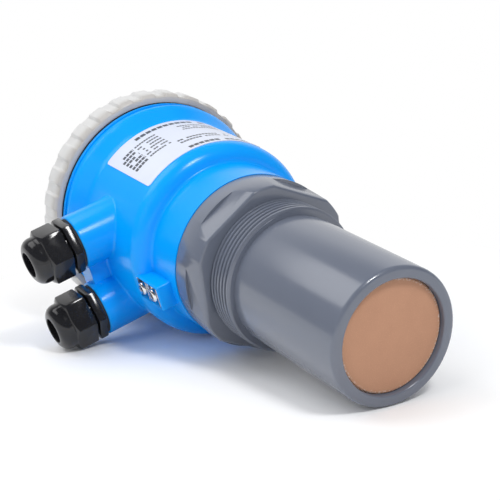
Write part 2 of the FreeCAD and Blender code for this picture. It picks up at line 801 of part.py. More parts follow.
def make_panel():
    body = new_body("front_panel")
    sketch = new_sketch(body, "panel_disc", "XY_Plane", PANEL_Z)
    draw_circle(sketch, "0", "0", "mouth_r - panel_clear")
    extrude(body, "panel_pad", sketch, "panel_thick")
    sketch = new_sketch(body, "panel_cuts", "XY_Plane", PANEL_TOP)
    draw_box(sketch, "-window_x / 2", "window_back - window_y / 2", "window_x / 2", "window_back + window_y / 2")
    half = "(poles * pole_pitch / 2 + terminal_clear)"
    draw_box(sketch, f"-{half}", "-terminal_front - terminal_clear", half,
             "terminal_deep - terminal_front + terminal_clear")
    for step in KEYS.values():
        draw_circle(sketch, f"{step} * key_pitch", "-key_front", "key_r + key_clear")
    for angle in LUG_ANGLES:
        draw_circle(sketch, *around("lug_ring", angle), "panel_screw_r + screw_clear")
    extrude(body, "panel_pocket", sketch, "panel_thick + overcut", cuts=True)

    screws = []
    for angle in LUG_ANGLES:
        x, y = around("lug_ring", angle)
        head = cylinder(f"panel_head_{angle}", "panel_head_r", "panel_head_high", x, y, PANEL_TOP)
        shank_low = f"{PANEL_Z} - panel_screw_len"
        shank = cylinder(f"panel_shank_{angle}", "panel_screw_r", "panel_thick + panel_screw_len", x, y, shank_low)
        screws.append(fuse(f"panel_screw_{angle}", head, shank))
    group("panel_screws", screws)


def make_display():
    body = new_body("lcd_module")
    x_half = "(window_x / 2 + lcd_border)"
    y_half = "(window_y / 2 + lcd_border)"
    sketch = new_sketch(body, "lcd_outline", "XY_Plane", MAIN_TOP)
    draw_box(sketch, f"-{x_half}", f"window_back - {y_half}", x_half, f"window_back + {y_half}")
    extrude(body, "lcd_pad", sketch, "board_gap - lcd_clear")
    sketch = new_sketch(body, "lcd_screen", "XY_Plane", f"{PANEL_Z} - lcd_clear")
    draw_box(sketch, "-window_x / 2", "window_back - window_y / 2", "window_x / 2", "window_back + window_y / 2")
    extrude(body, "lcd_screen_recess", sketch, "lcd_recess", cuts=True)

    body = new_body("display_window")
    x_half = "(window_x / 2 - window_clear)"
    y_half = "(window_y / 2 - window_clear)"
    sketch = new_sketch(body, "window_outline", "XY_Plane", f"{PANEL_TOP} - window_down - window_thick")
    draw_box(sketch, f"-{x_half}", f"window_back - {y_half}", x_half, f"window_back + {y_half}")
    extrude(body, "window_pane", sketch, "window_thick")


def make_key(label, step):
    body = new_body(label)
    key_top = f"{PANEL_TOP} + key_proud"
    turn(body, f"{label}_turned", [
        ("0", KEY_LOW),
        ("key_stem_r", KEY_LOW),
        ("key_stem_r", KEY_FLANGE_LOW),
        ("key_flange_r", KEY_FLANGE_LOW),
        ("key_flange_r", KEY_FLANGE_TOP),
        ("key_r", KEY_FLANGE_TOP),
        ("key_r", key_top),
        ("0", key_top),
    ])
    round_edges(body, f"{label}_edge", "key_edge", on_ring("key_r", key_top))
    place(body, f"{step} * key_pitch", "-key_front")


def make_switches():
    switches = []
    for label, step in KEYS.items():
        base = doc.addObject("Part::Box", f"switch_base_{label}")
        base_high = f"{SWITCH_TOP} - {MAIN_TOP} - switch_button_high"
        bind(base, Length="switch_side", Width="switch_side", Height=base_high)
        place(base, f"{step} * key_pitch - switch_side / 2", "-key_front - switch_side / 2", MAIN_TOP)
        button = cylinder(f"switch_button_{label}", "switch_button_r", "switch_button_high",
                          f"{step} * key_pitch", "-key_front", f"{SWITCH_TOP} - switch_button_high")
        switches.append(fuse(f"switch_{label}", base, button))
    group("key_switches", switches)


def make_terminal():
    body = new_body("terminal_block")
    top = f"{MAIN_TOP} + terminal_high"
    back = "terminal_deep - terminal_front"
    sketch = new_sketch(body, "terminal_section", "YZ_Plane")
    draw_polygon(sketch, [
        ("-terminal_front", MAIN_TOP),
        (back, MAIN_TOP),
        (back, top),
        ("terminal_slope - terminal_front", top),
        ("-terminal_front", f"{top} - terminal_slope_high"),
    ])
    extrude(body, "terminal_pad", sketch, "poles * pole_pitch", symmetric=True)
    entries = new_sketch(body, "entry_outlines", "XZ_Plane", "terminal_front")
    holes = new_sketch(body, "terminal_hole_circles", "XY_Plane", top)
    screw_y = "(terminal_slope - terminal_front + terminal_deep - terminal_front) / 2"
    screw_z = f"{top} - terminal_hole_deep"
    screws = []
    for pole in range(SIZES["poles"]):
        x = pole_x(pole)
        low = f"{MAIN_TOP} + entry_up"
        draw_box(entries, f"{x} - entry_x / 2", low, f"{x} + entry_x / 2", f"{low} + entry_high")
        draw_circle(holes, x, screw_y, "terminal_hole_r")
        screws.append(cylinder(f"terminal_screw_{pole}", "terminal_screw_r", "terminal_screw_len", x, screw_y, screw_z))
    extrude(body, "entries", entries, "entry_deep", cuts=True)
    extrude(body, "terminal_holes", holes, "terminal_hole_deep", cuts=True)
    group("terminal_screws", screws)


# cable glands, built upwards from the boss face and then turned to face the front


GLAND_FLANGE_TOP = "(gasket_thick + gland_flange)"
CLAMP_TOP = f"({GLAND_FLANGE_TOP} + clamp_len)"
SEAT_Z = f"({GLAND_FLANGE_TOP} + seat_up)"
NUT_LOW = f"({GLAND_FLANGE_TOP} + nut_gap)"
NUT_HEX_TOP = f"({NUT_LOW} + nut_hex)"
NUT_TOP = f"({NUT_HEX_TOP} + nut_dome)"
INSERT_TOP = f"({CLAMP_TOP} + insert_gap)"


def seat_on_boss(item, x):
    place(item, x, "-boss_reach", BOSS_Z, FACING_FRONT)


def make_gland(side, x):
    gasket = ring(f"gland_gasket_{side}", "gasket_r", "gland_thread_r + thread_clear", "gasket_thick",
                  x, "-boss_reach", BOSS_Z, FACING_FRONT)
    solid(gasket)

    body = new_body(f"gland_body_{side}")
    sketch = new_sketch(body, f"gland_hex_{side}", "XY_Plane", "gasket_thick")
    draw_hexagon(sketch, "gland_flat")
    extrude(body, f"gland_flange_pad_{side}", sketch, "gland_flange")
    turn(body, f"gland_stem_{side}", [
        ("0", "-gland_thread_len"),
        ("gland_thread_r", "-gland_thread_len"),
        ("gland_thread_r", "gasket_thick"),
        ("clamp_r", GLAND_FLANGE_TOP),
        ("clamp_r", CLAMP_TOP),
        ("0", CLAMP_TOP),
    ])
    turn(body, f"gland_bore_{side}", [
        ("0", "-gland_thread_len - overcut"),
        ("gland_bore_r", "-gland_thread_len - overcut"),
        ("gland_bore_r", SEAT_Z),
        ("clamp_bore_r", SEAT_Z),
        ("clamp_bore_r", f"{CLAMP_TOP} + overcut"),
        ("0", f"{CLAMP_TOP} + overcut"),
    ], cuts=True)
    seat_on_boss(body, x)

    body = new_body(f"gland_seal_{side}")
    insert_r = "clamp_bore_r - insert_clear"
    turn(body, f"insert_{side}", [
        ("insert_bore_r", f"{SEAT_Z} + insert_gap"),
        (insert_r, f"{SEAT_Z} + insert_gap"),
        (insert_r, INSERT_TOP),
        ("insert_bore_r", INSERT_TOP),
    ])
    seat_on_boss(body, x)

    body = new_body(f"gland_nut_{side}")
    sketch = new_sketch(body, f"nut_hex_{side}", "XY_Plane", NUT_LOW)
    draw_hexagon(sketch, "gland_flat")
    extrude(body, f"nut_pad_{side}", sketch, "nut_hex")
    corner_r = "gland_flat / 2 / cos(30)"
    turn(body, f"nut_corner_cut_{side}", [
        ("gland_flat / 2 - nut_chamfer / 2", NUT_HEX_TOP),
        (f"{corner_r} + overcut", f"{NUT_HEX_TOP} - nut_chamfer * 2"),
        (f"{corner_r} + overcut", f"{NUT_HEX_TOP} + overcut"),
        ("gland_flat / 2 - nut_chamfer / 2", f"{NUT_HEX_TOP} + overcut"),
    ], cuts=True)
    sketch = new_sketch(body, f"dome_circle_{side}", "XY_Plane", f"{NUT_HEX_TOP} - nut_chamfer")
    draw_circle(sketch, "0", "0", "nut_dome_r - nut_chamfer / 2")
    extrude(body, f"dome_pad_{side}", sketch, "nut_dome + nut_chamfer")
    round_edges(body, f"dome_{side}", "nut_round", on_ring("nut_dome_r - nut_chamfer / 2", NUT_TOP))
    turn(body, f"nut_bore_{side}", [
        ("0", f"{NUT_LOW} - overcut"),
        ("clamp_r + thread_clear", f"{NUT_LOW} - overcut"),
        ("clamp_r + thread_clear", f"{INSERT_TOP} + insert_gap"),
        ("nut_mouth_r", f"{INSERT_TOP} + insert_gap"),
        ("nut_mouth_r", f"{NUT_TOP} + overcut"),
        ("0", f"{NUT_TOP} + overcut"),
    ], cuts=True)
    seat_on_boss(body, x)


make_probe_body()
make_transducer()
make_housing()
make_earth_terminal()
make_label()
make_cover()
make_stack()
make_panel()
make_display()
for key_label, key_step in KEYS.items():
    make_key(key_label, key_step)
make_switches()
make_terminal()
for gland_side, gland_x in SIDES.items():
    make_gland(gland_side, gland_x)
doc.recompute()

for item in doc.Objects:
    if "Invalid" in item.State or "Error" in item.State:
        raise RuntimeError(f"{item.Label} failed: {item.State}")
for piece in pieces:
    if piece.Shape.isNull() or not piece.Shape.isValid() or not piece.Shape.Solids:
        raise RuntimeError(f"{piece.Label} is not a valid solid")

os.makedirs("parts", exist_ok=True)
for piece in pieces:
    piece.Shape.exportStep(f"parts/{piece.Label}.step")
    box = piece.Shape.BoundBox
    count = len(piece.Shape.Solids)
    print(f"{piece.Label}: {count} solid, {piece.Shape.Volume:.1f} mm3, "
          f"x {box.XMin:.1f}..{box.XMax:.1f} y {box.YMin:.1f}..{box.YMax:.1f} z {box.ZMin:.1f}..{box.ZMax:.1f}")
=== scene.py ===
# %% [markdown]
# # An ultrasonic level transmitter
#
# The instrument sits on the roof of a tank and listens for its own echo from the liquid. It lies on its side
# on a white table here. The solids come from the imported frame, in metres, with +Z along the axis from the
# sensing face to the cover. This lesson dresses that frame: the pieces that show are modelled again with
# finer edges, real threads and a print, and every piece gets a finish made of nodes. Lengths are written in
# millimetres, as on a drawing, and MM turns them into metres.

# %% Load the frame
import math

import bmesh
import bpy
from mathutils import Matrix, Vector


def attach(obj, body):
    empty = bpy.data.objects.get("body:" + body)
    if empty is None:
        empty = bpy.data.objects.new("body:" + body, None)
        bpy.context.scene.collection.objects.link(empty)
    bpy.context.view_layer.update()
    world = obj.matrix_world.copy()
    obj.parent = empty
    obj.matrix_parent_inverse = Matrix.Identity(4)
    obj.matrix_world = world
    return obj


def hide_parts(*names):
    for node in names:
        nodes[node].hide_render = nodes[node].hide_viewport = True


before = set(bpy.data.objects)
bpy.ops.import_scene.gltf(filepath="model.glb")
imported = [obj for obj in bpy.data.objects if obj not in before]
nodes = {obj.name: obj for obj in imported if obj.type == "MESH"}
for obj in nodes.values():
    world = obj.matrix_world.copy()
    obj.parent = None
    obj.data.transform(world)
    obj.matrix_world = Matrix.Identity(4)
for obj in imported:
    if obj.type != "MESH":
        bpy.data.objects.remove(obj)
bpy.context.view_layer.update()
MM = 0.001
bpy.ops.object.select_all(action="DESELECT")

# %% [markdown]
# ## A shorthand for shader nodes
#
# A finish is easier to read as a sum than as a web of wires. `Wire` wraps one output socket, and Python's own
# signs add Math nodes to the tree.

# %% A wire


class Wire:
    """An output socket that can be used in a Python expression."""

    def __init__(self, nodes_of, socket):
        self.nodes_of = nodes_of
        self.socket = socket

    def math(self, operation, other=0.0, swapped=False):
        first, second = (other, self) if swapped else (self, other)
        return self.nodes_of.node("ShaderNodeMath", {"operation": operation}, {0: first, 1: second})

    def __add__(self, other):
        return self.math("ADD", other)

    def __radd__(self, other):
        return self.math("ADD", other, True)

    def __sub__(self, other):
        return self.math("SUBTRACT", other)

    def __rsub__(self, other):
        return self.math("SUBTRACT", other, True)

    def __mul__(self, other):
        return self.math("MULTIPLY", other)

    def __rmul__(self, other):
        return self.math("MULTIPLY", other, True)

    def __truediv__(self, other):
        return self.math("DIVIDE", other)

    def __gt__(self, other):
        return self.math("GREATER_THAN", other)

    def __lt__(self, other):
        return self.math("LESS_THAN", other)


print("a wire can be added, multiplied and compared")

# %% [markdown]
# ## Trees and finishes
#
# Every other node comes from `Nodes.node`, which takes the node's type, the settings that must be made first,
# and what goes into its sockets. The nodes that come back often have a name of their own: a mix of colours,
# the place on the piece, a soft noise, a rise from 0 to 1, a bump. A `Finish` is such a tree with the main
# shader of a material in it.

# %% A node tree and a finish


class Nodes:
    """A node tree that is filled by calls."""

    MIX_COLOURS, MIX_RESULT = (6, 7), 2

    def __init__(self, tree):
        self.tree = tree

    def node(self, kind, settings=None, inputs=None, output=0):
        made = self.tree.nodes.new(kind)
        for name, value in (settings or {}).items():
            setattr(made, name, value)
        for name, value in (inputs or {}).items():
            if isinstance(value, Wire):
                self.tree.links.new(value.socket, made.inputs[name])
            else:
                made.inputs[name].default_value = value
        return Wire(self, made.outputs[output])

    def mix(self, factor, *colours):
        """A colour between two colours."""
        inputs = {0: factor}
        for socket, colour in zip(self.MIX_COLOURS, colours):
            inputs[socket] = (*colour, 1.0) if isinstance(colour, tuple) else colour
        return self.node("ShaderNodeMix", {"data_type": "RGBA"}, inputs, self.MIX_RESULT)

    def vector(self, operation, first, second=(0.0, 0.0, 0.0), output="Vector"):
        """Vector maths: its result is a vector, or a number at the output called Value."""
        return self.node("ShaderNodeVectorMath", {"operation": operation}, {0: first, 1: second}, output)

    def place(self):
        """The point on the piece, in millimetres."""
        return self.vector("MULTIPLY", self.node("ShaderNodeTexCoord", output="Object"), (1 / MM,) * 3)

    def along(self, axis):
        """How far the point on the piece lies along an axis, in millimetres."""
        return self.node("ShaderNodeSeparateXYZ", {}, {0: self.place()}, axis)

    def noise(self, grain, detail=2.0):
        """Soft noise from 0 to 1 whose blotches are about a grain across, in millimetres."""
        return self.node("ShaderNodeTexNoise", {}, {
            "Vector": self.place(), "Scale": 1 / grain, "Detail": detail})

    def rise(self, value, low, high, curve="SMOOTHSTEP"):
        """0 up to a low value, 1 from a high value on, and a rise between them."""
        return self.node("ShaderNodeMapRange", {"interpolation_type": curve}, {
            "Value": value, "From Min": low, "From Max": high})

    def bump(self, height, depth):
        """A surface normal for a height from 0 to 1 that stands for a depth in millimetres."""
        return self.node("ShaderNodeBump", {}, {"Height": height, "Distance": depth * MM, "Strength": 1.0})

    def ray(self, kind):
        """1 for a ray of this kind, 0 for any other."""
        return self.node("ShaderNodeLightPath", output=f"Is {kind} Ray")


class Finish(Nodes):
    """A material with one main shader, whose sockets are set by name."""

    def __init__(self, name, **sockets):
        self.material = bpy.data.materials.new(name)
        self.material.use_nodes = True
        super().__init__(self.material.node_tree)
        self.shader = self.tree.nodes["Principled BSDF"]
        self.set(**sockets)

    def set(self, **sockets):
        for name, value in sockets.items():
            socket = self.shader.inputs[name.replace("_", " ")]
            if isinstance(value, Wire):
                self.tree.links.new(value.socket, socket)
            elif isinstance(value, tuple):
                socket.default_value = (*value, 1.0)
            else:
                socket.default_value = value


def listed(*finishes):
    return ", ".join(finish.material.name for finish in finishes)


print("the node shorthand is ready")

# %% [markdown]
# ## Plastics
#
# The housing is moulded in a strong blue with a satin skin. A mould leaves a very fine orange peel, and the
# gloss wanders a little over the surface, so two noises feed the bump and the roughness. The grey probe is
# PVC with faint rings from turning. The glands are black nylon with a finer, glossier skin. One flat colour
# would be quicker, but it looks like paint, because real plastic is never even.

# %% Finishes for the plastics
RING_RATE = 21.0  # radians to a millimetre: a ring every 0.3 mm

blue_moulding = Finish("blue_moulding", IOR=1.5, Specular_IOR_Level=0.3)
cloud = blue_moulding.noise(14.0)
peel = blue_moulding.noise(0.7, 1.0)
blue_moulding.set(Base_Color=blue_moulding.mix(cloud, (0.0, 0.325, 0.93), (0.0, 0.360, 0.99)),
                  Roughness=0.18 + 0.08 * cloud,
                  Normal=blue_moulding.bump(peel, 0.012))

grey_pvc = Finish("grey_pvc", IOR=1.5, Specular_IOR_Level=0.85)
cloud = grey_pvc.noise(9.0)
turned = (grey_pvc.along("Z") * RING_RATE).math("SINE") * 0.5 + 0.5
fleck = grey_pvc.noise(1.6, 1.0)
grey_pvc.set(Base_Color=grey_pvc.mix(cloud, (0.132, 0.150, 0.195), (0.137, 0.155, 0.201)),
             Roughness=0.17 + 0.05 * cloud,
             Normal=grey_pvc.bump(0.2 * turned + 0.8 * fleck, 0.0015))

black_nylon = Finish("black_nylon", IOR=1.5)
cloud = black_nylon.noise(4.0)
grain = black_nylon.noise(0.35, 2.0)
black_nylon.set(Base_Color=black_nylon.mix(cloud, (0.010, 0.010, 0.012), (0.016, 0.016, 0.018)),
                Roughness=0.10 + 0.08 * cloud,
                Normal=black_nylon.bump(grain, 0.005))

panel_plastic = Finish("panel_plastic", IOR=1.5)
cloud = panel_plastic.noise(6.0)
peel = panel_plastic.noise(0.4, 1.0)
panel_plastic.set(Base_Color=panel_plastic.mix(cloud, (0.62, 0.65, 0.70), (0.68, 0.70, 0.74)),
                  Roughness=0.42 + 0.1 * cloud,
                  Normal=panel_plastic.bump(peel, 0.012))

green_plastic = Finish("green_plastic", IOR=1.5)
cloud = green_plastic.noise(3.0)
peel = green_plastic.noise(0.3, 1.0)
green_plastic.set(Base_Color=green_plastic.mix(cloud, (0.03, 0.27, 0.10), (0.045, 0.33, 0.13)),
                  Roughness=0.38 + 0.12 * cloud,
                  Normal=green_plastic.bump(peel, 0.012))
print("plastics:", listed(blue_moulding, grey_pvc, black_nylon, panel_plastic, green_plastic))

# %% [markdown]
# ## Rubber and metal
#
# The seals and keys are matt rubber with a fine grain. The screws are bright plated steel with small wear
# marks, and the spacers are brass. A metal takes its look from what stands around it, so it needs little more
# than its colour and a gloss that wanders: one noise gives both, and the bump too.

# %% Finishes for rubber and metal
black_rubber = Finish("black_rubber")
cloud = black_rubber.noise(1.5, 3.0)
black_rubber.set(Base_Color=black_rubber.mix(cloud, (0.018, 0.018, 0.019), (0.030, 0.030, 0.031)),
                 Roughness=0.6 + 0.2 * cloud,
                 Normal=black_rubber.bump(black_rubber.noise(0.25), 0.015))

key_rubber = Finish("key_rubber")
cloud = key_rubber.noise(2.0, 3.0)
key_rubber.set(Base_Color=key_rubber.mix(cloud, (0.12, 0.14, 0.18), (0.15, 0.17, 0.21)),
               Roughness=0.5 + 0.2 * cloud,
               Normal=key_rubber.bump(key_rubber.noise(0.3), 0.012))

bright_steel = Finish("bright_steel", Metallic=1.0)
scuff = bright_steel.noise(0.6, 4.0)
bright_steel.set(Base_Color=bright_steel.mix(scuff, (0.72, 0.72, 0.71), (0.86, 0.86, 0.85)),
                 Roughness=0.12 + 0.2 * scuff,
                 Normal=bright_steel.bump(scuff, 0.004))

turned_brass = Finish("turned_brass", Metallic=1.0)
scuff = turned_brass.noise(0.5, 3.0)
turned_brass.set(Base_Color=turned_brass.mix(scuff, (0.70, 0.48, 0.19), (0.82, 0.60, 0.27)),
                 Roughness=0.2 + 0.15 * scuff,
                 Normal=turned_brass.bump(scuff, 0.004))
print("rubber and metal:", listed(black_rubber, key_rubber, bright_steel, turned_brass))

# %% [markdown]
# ## The sensing face and the transducer
#
# The sensing face is a brown matching layer, a resin full of tiny hollow spheres, so it is dull and faintly
# speckled, with pale crumbs along its border. Crumbs could be modelled, but they are flat, so a noise that is
# let through only near the border does it. The silvered disc, the backing and the lead lie behind it.

# %% Finishes for the sensing face and the transducer
BORDER_IN, BORDER_OUT = 20.7, 21.6

brown_layer = Finish("brown_layer", IOR=1.45)
blotch = brown_layer.noise(7.0, 3.0)
speck = brown_layer.noise(0.45, 2.0)
tone = brown_layer.mix(blotch, (0.490, 0.257, 0.157), (0.555, 0.295, 0.182))
tone = brown_layer.mix(0.35 * (speck > 0.6), tone, (0.63, 0.35, 0.22))
from_axis = brown_layer.vector("MULTIPLY", brown_layer.place(), (1.0, 1.0, 0.0))
radius = brown_layer.vector("LENGTH", from_axis, output="Value")
crumbs = brown_layer.rise(radius, BORDER_IN, BORDER_OUT, "LINEAR") * (brown_layer.noise(0.8, 2.0) > 0.55)
brown_layer.set(Base_Color=brown_layer.mix(0.8 * crumbs, tone, (0.74, 0.66, 0.60)),
                Roughness=0.62 + 0.2 * speck,
                Normal=brown_layer.bump(speck, 0.02))

silvered_ceramic = Finish("silvered_ceramic", Metallic=1.0)
scuff = silvered_ceramic.noise(0.8, 3.0)
silvered_ceramic.set(Base_Color=silvered_ceramic.mix(scuff, (0.62, 0.62, 0.59), (0.76, 0.76, 0.73)),
                     Roughness=0.35 + 0.2 * scuff)

cast_backing = Finish("cast_backing")
scuff = cast_backing.noise(1.2, 4.0)
cast_backing.set(Base_Color=cast_backing.mix(scuff, (0.07, 0.07, 0.07), (0.12, 0.12, 0.12)),
                 Roughness=0.7 + 0.2 * scuff,
                 Normal=cast_backing.bump(scuff, 0.05))

lead_sheath = Finish("lead_sheath")
scuff = lead_sheath.noise(0.8, 2.0)
lead_sheath.set(Base_Color=lead_sheath.mix(scuff, (0.05, 0.05, 0.05), (0.08, 0.08, 0.08)),
                Roughness=0.4 + 0.15 * scuff)
print("sensing face and transducer:", listed(brown_layer, silvered_ceramic, cast_backing, lead_sheath))

# %% [markdown]
# ## Clear plastic
#
# The cover is one clear moulding. Its plate is polished, and its skirt is milky, because the light goes
# through the long way there. Real glass all over would need many bounces of light, so the skirt only lets a
# quarter through. Its colour is painted darker at the lip, as painted shade for the threaded neck that
# shows dark through it there. The display has a pane.

# %% Finishes for clear plastic
# the levels, in millimetres, over which the painted shade at the skirt's lip fades out
SKIRT_DARK, SKIRT_PALE = 102.0, 111.0

clear_plate = Finish("clear_plate", IOR=1.49, Transmission_Weight=1.0, Base_Color=(0.97, 0.98, 0.98))
clear_plate.set(Roughness=0.02 + 0.05 * clear_plate.noise(5.0, 3.0))

milky_skirt = Finish("milky_skirt", IOR=1.49, Transmission_Weight=0.25)
cloud = milky_skirt.noise(6.0, 3.0)
# painted shade: the skirt's colour is darker towards the lip, for the dark neck seen through it
lip_shade_fade = milky_skirt.rise(milky_skirt.along("Z") + 2.0 * cloud, SKIRT_DARK, SKIRT_PALE)
milky_skirt.set(Base_Color=milky_skirt.mix(lip_shade_fade, (0.47, 0.44, 0.41), (0.80, 0.80, 0.79)),
                Roughness=0.28 + 0.12 * cloud,
                Normal=milky_skirt.bump(milky_skirt.noise(0.8), 0.010))

window_pane = Finish("window_pane", IOR=1.49, Transmission_Weight=1.0, Base_Color=(0.93, 0.96, 0.97))
window_pane.set(Roughness=0.02 + 0.04 * window_pane.noise(4.0, 3.0))
print("clear plastic:", listed(clear_plate, milky_skirt, window_pane))

# %% [markdown]
# ## The printed label
#
# The label is a white film with rows of small dark print. The print is only a rhythm of short dashes: a row
# is where the height falls into a band, and a dash is where the arc length falls into a cell that a random
# number has not left empty. The arc length comes from the angle about the axis, so the rows follow the wall.

# %% A finish with a print
LABEL_R = 43.2
DASH_SHARE, EMPTY_SHARE = 0.84, 0.14

label_film = Finish("label_film", IOR=1.5)
z = label_film.along("Z")
arc = label_film.along("Y").math("ARCTAN2", label_film.along("X")) * LABEL_R


def dashes(start, end, low, rows, pitch, high, cell, seed):
    """A block of print: rows of dashes between two arc lengths, from a lowest level upwards."""
    level = (z - low) / pitch
    row = level.math("FLOOR")
    in_block = (arc > start) * (arc < end) * (level > 0.0) * (level < float(rows))
    in_row = level.math("FRACT") < high / pitch
    column = (arc - start) / cell
    spare = label_film.node("ShaderNodeTexWhiteNoise", {"noise_dimensions": "2D"}, {
        "Vector": label_film.node("ShaderNodeCombineXYZ", {}, {
            "X": column.math("FLOOR") + seed, "Y": row + seed})})
    return in_block * in_row * (column.math("FRACT") < DASH_SHARE) * (spare > EMPTY_SHARE)


# start, end, lowest level, rows, pitch of the rows, height of a dash, length of a cell, seed
BLOCKS = (
    (-9.0, 26.5, 81.8, 1, 4.0, 2.5, 2.9, 3.0),
    (-21.5, -13.6, 61.5, 6, 3.0, 1.9, 1.9, 11.0),
    (-12.6, -1.5, 61.9, 6, 3.0, 1.3, 1.25, 17.0),
    (9.5, 27.5, 71.5, 3, 2.7, 1.3, 1.3, 29.0),
    (0.5, 24.0, 56.6, 2, 3.0, 1.5, 1.5, 37.0),
    (-2.0, 29.0, 48.4, 1, 4.0, 2.5, 2.5, 41.0),
)
ink = dashes(*BLOCKS[0])
for print_block in BLOCKS[1:]:
    ink = ink + dashes(*print_block)
grime = label_film.noise(11.0, 3.0)
paper = label_film.mix(grime, (0.64, 0.68, 0.79), (0.68, 0.72, 0.82))
label_film.set(Base_Color=label_film.mix(ink.math("MINIMUM", 1.0) * 0.92, paper, (0.02, 0.024, 0.035)),
               Roughness=0.36 + 0.15 * grime)
print("label:", len(BLOCKS), "blocks of print")

# %% [markdown]
# ## Boards and display
#
# The boards are green laminate with tracks and tinned pads, and the display is a grid of small cells. Both
# are patterns on the piece's own place, as the print is: a fraction of X or Y says where a track or a cell
# is, and a noise says where there is none. Only the pads are metal, so they feed the metallic socket as well.

# %% Finishes for boards and display
PAD_PITCH = 2.54
CELL_RATE, CELL_SHARE = 1.6, 0.9

board_laminate = Finish("board_laminate", IOR=1.5)
x = board_laminate.along("X")
y = board_laminate.along("Y")
weave = board_laminate.noise(3.0, 1.0)
track = ((x * 0.55 + 2.0 * weave).math("FRACT") < 0.32) * (board_laminate.noise(6.0, 0.0) > 0.48)
pad_grid = ((x / PAD_PITCH).math("FRACT") < 0.5) * ((y / PAD_PITCH).math("FRACT") < 0.5)
pad = pad_grid * (board_laminate.noise(9.0, 0.0) > 0.6)
mask = board_laminate.mix(track, (0.010, 0.135, 0.050), (0.022, 0.215, 0.085))
board_laminate.set(Base_Color=board_laminate.mix(pad, mask, (0.60, 0.60, 0.56)),
                   Roughness=0.34 - 0.1 * pad,
                   Metallic=0.9 * pad,
                   Normal=board_laminate.bump(track, 0.03))

lcd_glass = Finish("lcd_glass", IOR=1.5)
columns = (lcd_glass.along("X") * CELL_RATE).math("FRACT") < CELL_SHARE
rows = (lcd_glass.along("Y") * CELL_RATE).math("FRACT") < CELL_SHARE
cells = lcd_glass.mix(columns * rows, (0.30, 0.36, 0.26), (0.36, 0.43, 0.31))
lcd_glass.set(Base_Color=lcd_glass.mix(lcd_glass.noise(8.0), cells, (0.34, 0.40, 0.30)),
              Roughness=0.12 + 0.08 * lcd_glass.noise(5.0))
print("patterned:", listed(board_laminate, lcd_glass))

# %% [markdown]
# ## Working in edit mode
#
# An operator acts on all that is selected, so each step starts by selecting one piece and nothing else.
# Inside the piece, vertices, edges and faces are picked by a test on their place or normal, as a modeller
# would pick them by eye.

# %% Selecting and editing


def only(piece):
    """Makes a piece the active one, with nothing else selected."""
    bpy.ops.object.select_all(action="DESELECT")
    piece.select_set(True)
    bpy.context.view_layer.objects.active = piece


def edit(piece, select_mode="VERT"):
    """Opens a piece in edit mode."""
    only(piece)
    bpy.ops.object.mode_set(mode="EDIT")
    bpy.ops.mesh.select_mode(type=select_mode)


def done():
    """Closes edit mode."""
    bpy.ops.object.mode_set(mode="OBJECT")


def pick(kind, test):
    """In edit mode, selects only the vertices, edges or faces that pass a test."""
    mesh = bmesh.from_edit_mesh(bpy.context.object.data)
    bpy.ops.mesh.select_all(action="DESELECT")
    found = 0
    for part in getattr(mesh, kind):
        chosen = bool(test(part))
        part.select_set(chosen)
        found += chosen
    bmesh.update_edit_mesh(bpy.context.object.data)
    return found


print("pieces can be opened and picked from")

# %% [markdown]
# ## Turning a piece
#
# Most of this instrument is round, so most pieces start as a lathe would start them. A plane is merged to a
# single vertex, the vertex is extruded along half of the cross-section, and the line is spun about the axis.
# Corners of the section are rounded first, because a real edge always catches a line of light.

# %% A lathe made of operators
SEAM = 0.003 * MM


def rounded(corners, steps=5):
    """The profile's points, with each corner that states a radius replaced by an arc."""
    points = []
    for index, corner in enumerate(corners):
        here = Vector(corner[:2])
        if len(corner) == 2:
            points.append(here)
            continue
        before = (Vector(corners[index - 1][:2]) - here).normalized()
        after = (Vector(corners[(index + 1) % len(corners)][:2]) - here).normalized()
        half = before.angle(after) / 2
        centre = here + (before + after).normalized() * corner[2] / math.sin(half)
        first = here + before * corner[2] / math.tan(half) - centre
        sweep = first.angle_signed(here + after * corner[2] / math.tan(half) - centre)
        for step in range(steps + 1):
            points.append(centre + Matrix.Rotation(-sweep * step / steps, 2) @ first)
    return [tuple(point) for point in points]


def drawn_line(name, points):
    """A line of edges in the plane of X and Z, from radius and level in millimetres."""
    bpy.ops.object.select_all(action="DESELECT")
    bpy.ops.mesh.primitive_plane_add(size=MM)
    piece = bpy.context.object
    piece.name = piece.data.name = name
    edit(piece)
    bpy.ops.mesh.select_all(action="SELECT")
    bpy.ops.mesh.merge(type="CENTER")
    bpy.ops.transform.translate(value=(points[0][0] * MM, 0, points[0][1] * MM))
    for here, there in zip(points, points[1:]):
        step = ((there[0] - here[0]) * MM, 0, (there[1] - here[1]) * MM)
        bpy.ops.mesh.extrude_region_move(TRANSFORM_OT_translate={"value": step})
    done()
    return piece


def heal():
    """In edit mode, merges doubles and turns the faces outwards."""
    bpy.ops.mesh.select_all(action="SELECT")
    bpy.ops.mesh.remove_doubles(threshold=SEAM)
    bpy.ops.mesh.normals_make_consistent(inside=False)


def lathe(name, profile, steps=96, closed=True):
    """A turned piece about the Z axis."""
    piece = drawn_line(name, list(profile) + [profile[0]] if closed else profile)
    edit(piece)
    bpy.ops.mesh.select_all(action="SELECT")
    bpy.ops.mesh.spin(steps=steps, angle=2 * math.pi, center=(0, 0, 0), axis=(0, 0, 1))
    heal()
    done()
    return piece


print("the lathe is ready")

# %% [markdown]
# ## Cutting and joining
#
# A boolean cuts one piece with another or makes them one. It can leave slivers and doubled points along the
# seam, so the seam is merged, small holes are closed and the faces are turned outwards again.

# %% Modifiers and booleans


def modify(piece, kind, **settings):
    """Adds a modifier, sets it and applies it."""
    only(piece)
    bpy.ops.object.modifier_add(type=kind)
    added = piece.modifiers[-1]
    for name, value in settings.items():
        setattr(added, name, value)
    bpy.ops.object.modifier_apply(modifier=added.name)


def soften(piece, width, degrees):
    """A narrow bevel, in millimetres, on every edge that is sharper than an angle."""
    modify(piece, "BEVEL", width=width * MM, segments=2, limit_method="ANGLE",
           angle_limit=math.radians(degrees))


